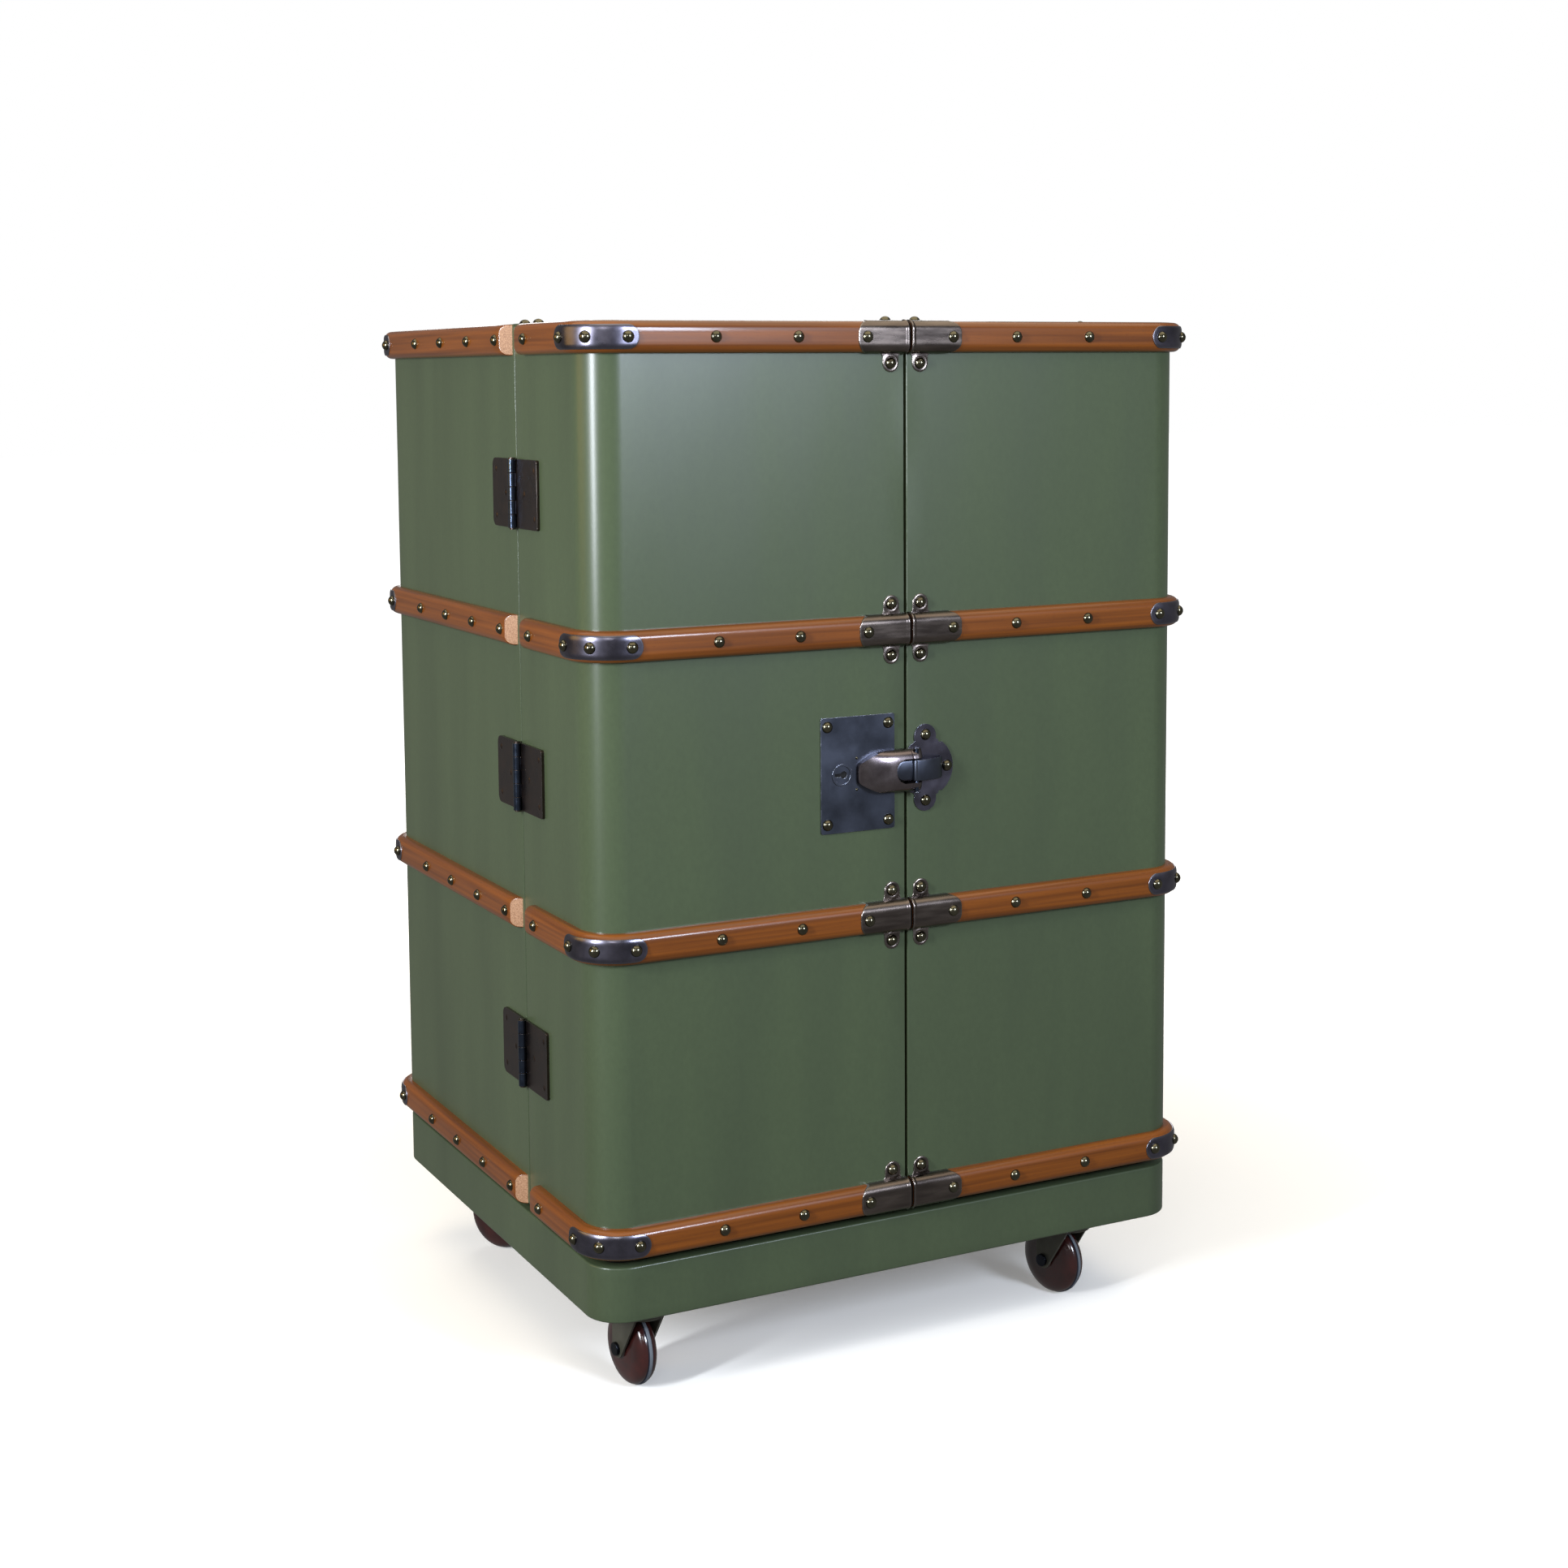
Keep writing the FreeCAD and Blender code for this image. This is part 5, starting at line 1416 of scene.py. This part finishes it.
# ---------------------------------------------------------------- base and casters
@dataclass
class Plinth:
    """Covered plinth frame under the shadow gap."""

    plan: ShellPlan
    wall: float = 15 * MM
    edge: float = 2 * MM

    def build(self) -> None:
        """A closed ring: a rounded rectangular section carried once round the plan."""
        low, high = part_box("plinth_frame")
        stations = self.plan.stations(0.0, 2 * self.plan.half_length)[:-1]
        turn = np.radians(np.linspace(0, 90, 5))
        out_curve, z_curve = self.edge * (1 - np.cos(turn)), self.edge * (1 - np.sin(turn))
        rows = np.linspace(low.z + self.edge, high.z - self.edge, 6)
        out = np.concatenate([-out_curve[::-1], np.zeros(4), -out_curve, [-self.wall, -self.wall]])
        z = np.concatenate([low.z + z_curve[::-1], rows[1:-1], high.z - z_curve, [high.z, low.z]])
        s, out = np.meshgrid(stations, out, indexing="ij")
        x, y = self.plan.at(s, out)
        points = np.stack([x, y, np.broadcast_to(z, s.shape)], axis=-1)
        points = np.concatenate([points, points[:1]])
        faces = tube_faces(len(points), points.shape[1])
        piece = build_mesh("plinth_cover", points.reshape(-1, 3), faces, (COVER,))
        fit(piece, "carcass", ["plinth_frame"])


@dataclass
class Casters:
    """Four swivel casters: pressed forks, resin wheels with a rubber tread, axle bolts."""

    corners: tuple[str, ...] = ("front_left", "front_right", "rear_left", "rear_right")
    radius: float = 40 * MM
    half_width: float = 13.5 * MM
    tread_half: float = 1.8 * MM
    groove: float = 1.2 * MM
    hub_radius: float = 8.5 * MM
    hub_half: float = 14.6 * MM
    bore: float = 4.05 * MM
    disc: float = 20 * MM           # reach of the disc's flat face
    columns: int = 64

    def profile(self) -> tuple[Points, Points]:
        """Half-section of the wheel as across and reach, and the finish number of each strip.

        From the bore over the hub face and the flat of the disc, then a quarter ellipse that closes in
        on the groove, and the flat tread.
        """
        turn = np.radians(np.linspace(0, 90, 18))
        flat, rim = self.disc, self.radius - self.groove
        side = self.half_width - 1.0 * MM
        across = self.tread_half + 0.9 * MM + (side - self.tread_half - 0.9 * MM) * np.cos(turn) ** 0.9
        reach = flat + (rim - flat) * np.sin(turn)
        head_across = [0.0, self.hub_half, self.hub_half, self.half_width, self.half_width]
        head_reach = [self.bore, self.bore, self.hub_radius, self.hub_radius + 0.8 * MM, flat - 6 * MM]
        tail_across = [self.tread_half + 0.5 * MM, self.tread_half, 0.0]
        tail_reach = [rim - 0.5 * MM, self.radius - 0.2 * MM, self.radius]
        finish = [0] * (len(head_across) + len(turn) - 1) + [2, 2, 1]
        return (np.column_stack([np.concatenate([head_across, across, tail_across]),
                                 np.concatenate([head_reach, reach, tail_reach])]), np.array(finish))

    def wheel(self, corner: str, frame: dict[str, Any]) -> bpy.types.Object:
        """Revolve the profile and its mirror image about the axle."""
        half, finish = self.profile()
        section = np.concatenate([half, (half * (-1, 1))[::-1][1:]])
        strip = np.concatenate([finish, finish[::-1]])
        local = revolved(section[:, 1], section[:, 0], self.columns)[..., [2, 0, 1]]
        joint = next(j for j in frame["joints"] if j["child"] == f"{corner}_wheel")
        axis, centre = Vector(joint["axis"]), Vector(joint["pos_m"])
        spin = np.array(Vector((1, 0, 0)).rotation_difference(axis).to_matrix())
        points = local.reshape(-1, 3) @ spin.T + np.array(centre)
        faces = tube_faces(len(section), self.columns)
        rows = np.repeat(strip[:len(section) - 1], self.columns)
        return build_mesh(f"{corner}_wheel_disc", points, faces, (WHEEL_RESIN, TREAD_RUBBER, GROOVE_RUBBER),
                          rows, sharp=35.0)

    def build(self, frame: dict[str, Any]) -> None:
        """Every corner's wheel, fork and axle, and the plates under the plinth."""
        plates = SoftenedPart("caster_plates", CASTER_PAINT, CASTER_EDGE, "caster_steel", 0.5 * MM)
        plates.build(frame, "carcass")
        for corner in self.corners:
            wheel = self.wheel(corner, frame)
            fit(wheel, f"{corner}_wheel", [f"{corner}_caster_wheel"])
            caster = f"{corner}_caster"
            fork = SoftenedPart(f"{caster}_fork", CASTER_PAINT, CASTER_EDGE, "caster_steel", 0.5 * MM)
            fork.build(frame, caster)
            SoftenedPart(f"{caster}_axle", AXLE_STEEL, AXLE_STEEL, "axle_steel").build(frame, caster)


# ---------------------------------------------------------------- studio
@dataclass(frozen=True)
class Softbox:
    """A rectangular area light at a place, aimed at a point."""

    name: str
    place: tuple[float, float, float]
    aim: tuple[float, float, float]
    size: tuple[float, float]
    power: float
    colour: str = "#FFFFFF"

    def build(self) -> None:
        """Add the light."""
        data = bpy.data.lights.new(self.name, "AREA")
        data.shape = "RECTANGLE"
        data.size, data.size_y = self.size
        data.energy = self.power
        data.color = linear(self.colour)[:3]
        light = add_object(self.name, data)
        light.visible_camera = False
        turn = (Vector(self.aim) - Vector(self.place)).to_track_quat("-Z", "Y").to_matrix().to_4x4()
        light.matrix_world = Matrix.Translation(self.place) @ turn


MIDDLE = (0.0, 0.0, 0.55)
SOFTBOXES = (
    Softbox("left_strip", (-2.6, -1.1, 1.35), (-0.3, -0.28, 0.95), (0.2, 1.1), 100, "#F0F6FF"),
    Softbox("front_right", (0.64, -2.95, 1.6), (-0.25, -0.3, 0.9), (0.75, 0.75), 78, "#DFEAFF"),
    Softbox("front_left", (-2.0, -3.0, 2.0), MIDDLE, (0.9, 0.9), 15),
    Softbox("left_warm", (-3.2, 0.9, 1.5), MIDDLE, (1.6, 1.6), 15, "#FFC860"),
    Softbox("overhead", (0.0, -0.2, 3.6), MIDDLE, (4.5, 4.5), 98, "#FFF0D6"),
    Softbox("back_fill", (1.4, 3.2, 1.8), MIDDLE, (1.6, 1.6), 26))


@dataclass
class Studio:
    """White sweep, six softboxes and the camera."""

    lens: float = 54.10
    place: tuple[float, float, float] = (-1.1967, -2.3599, 1.0226)
    yaw: float = 0.475045
    pitch: float = -0.098746
    roll: float = -0.00725
    shift_y: float = -0.1121
    floor_half: float = 30.0
    near_glow: float = 0.2          # floor's own light beside the trunk
    glow_from: float = 0.5          # the glow grows from here, in metres from the middle,
    glow_to: float = 2.2            # to full white here
    around: float = 0.19            # grey that surfaces see in place of the white room

    def camera(self) -> None:
        """Camera with its axes worked out from yaw, pitch and roll."""
        data = bpy.data.cameras.new("camera")
        data.lens = self.lens
        data.sensor_width = 36.0
        data.shift_y = self.shift_y
        data.clip_end = 100.0
        forward = Vector((math.sin(self.yaw) * math.cos(self.pitch),
                          math.cos(self.yaw) * math.cos(self.pitch), math.sin(self.pitch)))
        right = Vector((math.cos(self.yaw), -math.sin(self.yaw), 0))
        up = right.cross(forward)
        level, steep = math.cos(self.roll), math.sin(self.roll)
        right, up = level * right + steep * up, level * up - steep * right
        matrix = Matrix((right, up, -forward)).transposed().to_4x4()
        matrix.translation = Vector(self.place)
        camera = add_object("camera", data)
        camera.matrix_world = matrix
        bpy.context.scene.camera = camera

    def world(self) -> None:
        """White behind the object, and a dimmer grey for reflections and fill."""
        world = bpy.data.worlds.new("white_room")
        world.use_nodes = True
        bpy.context.scene.world = world
        tree = world.node_tree
        tree.nodes.clear()
        path = add_node(tree, "ShaderNodeLightPath")
        strength = add_node(tree, "ShaderNodeMapRange",
                            {"Value": path.outputs["Is Camera Ray"], "To Min": self.around, "To Max": 1.0})
        background = add_node(tree, "ShaderNodeBackground",
                              {"Color": (1.0, 1.0, 1.0, 1.0), "Strength": strength.outputs[0]})
        add_node(tree, "ShaderNodeOutputWorld", {"Surface": background.outputs[0]})

    def floor(self) -> None:
        """A pale paper floor that glows white away from the trunk, as an evenly lit sweep does."""
        half = self.floor_half
        points = [(-half, -half, 0.0), (half, -half, 0.0), (half, half, 0.0), (-half, half, 0.0)]
        mesh = bpy.data.meshes.new("floor")
        mesh.from_pydata(points, [], [(0, 1, 2, 3)])
        material = PlainCoat("pale_paper_floor", "#F4F2EC", "#F1EFE9", 0.9, 0.0, 2.0).build()
        tree = material.node_tree
        shader = next(node for node in tree.nodes if node.type == "BSDF_PRINCIPLED")
        place = add_node(tree, "ShaderNodeTexCoord")
        away = add_node(tree, "ShaderNodeVectorMath", {0: place.outputs["Object"]}, operation="LENGTH")
        glow = add_node(tree, "ShaderNodeMapRange", {
            "Value": away.outputs["Value"], "From Min": self.glow_from, "From Max": self.glow_to,
            "To Min": self.near_glow, "To Max": 1.0}, interpolation_type="SMOOTHSTEP")
        shader.inputs["Emission Color"].default_value = (1.0, 1.0, 1.0, 1.0)
        tree.links.new(glow.outputs[0], shader.inputs["Emission Strength"])
        mesh.materials.append(material)
        floor = add_object("floor", mesh)
        floor.visible_diffuse = False
        floor.visible_glossy = False

    def build(self) -> None:
        """Camera, world, floor and lights."""
        scene = bpy.context.scene
        scene.view_settings.view_transform = "Standard"
        self.camera()
        self.world()
        self.floor()
        for softbox in SOFTBOXES:
            softbox.build()


# ---------------------------------------------------------------- assembly
def dress_nodes(frame: dict[str, Any]) -> None:
    """Give every CAD node the finish of its slot in the record; level boards have level grain."""
    slots = {row["node"]: row["material_slot"] for row in frame["record"]["subparts"]}
    for name, node in frame["nodes"].items():
        finish = LEVEL_LINING if name in LEVEL_BOARDS else NODE_FINISH[slots[name]]
        node.data.materials.clear()
        node.data.materials.append(finish.build())


def main() -> None:
    """Build the trunk round the frame."""
    logging.basicConfig(level=logging.INFO, format="%(name)s: %(message)s")
    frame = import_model()
    dress_nodes(frame)
    plan = ShellPlan.from_frame()
    bands = BeechBands(plan, BandShape())
    latch = Latch(plan)
    CoveredShell(plan).build()
    bands.build()
    DomedNails(plan, bands).build(latch)
    latch.build(frame)
    Hinges(plan.half_width, plan.seam).build(frame)
    Plinth(plan).build()
    Casters().build(frame)
    Studio().build()


if __name__ == "__main__":
    main()
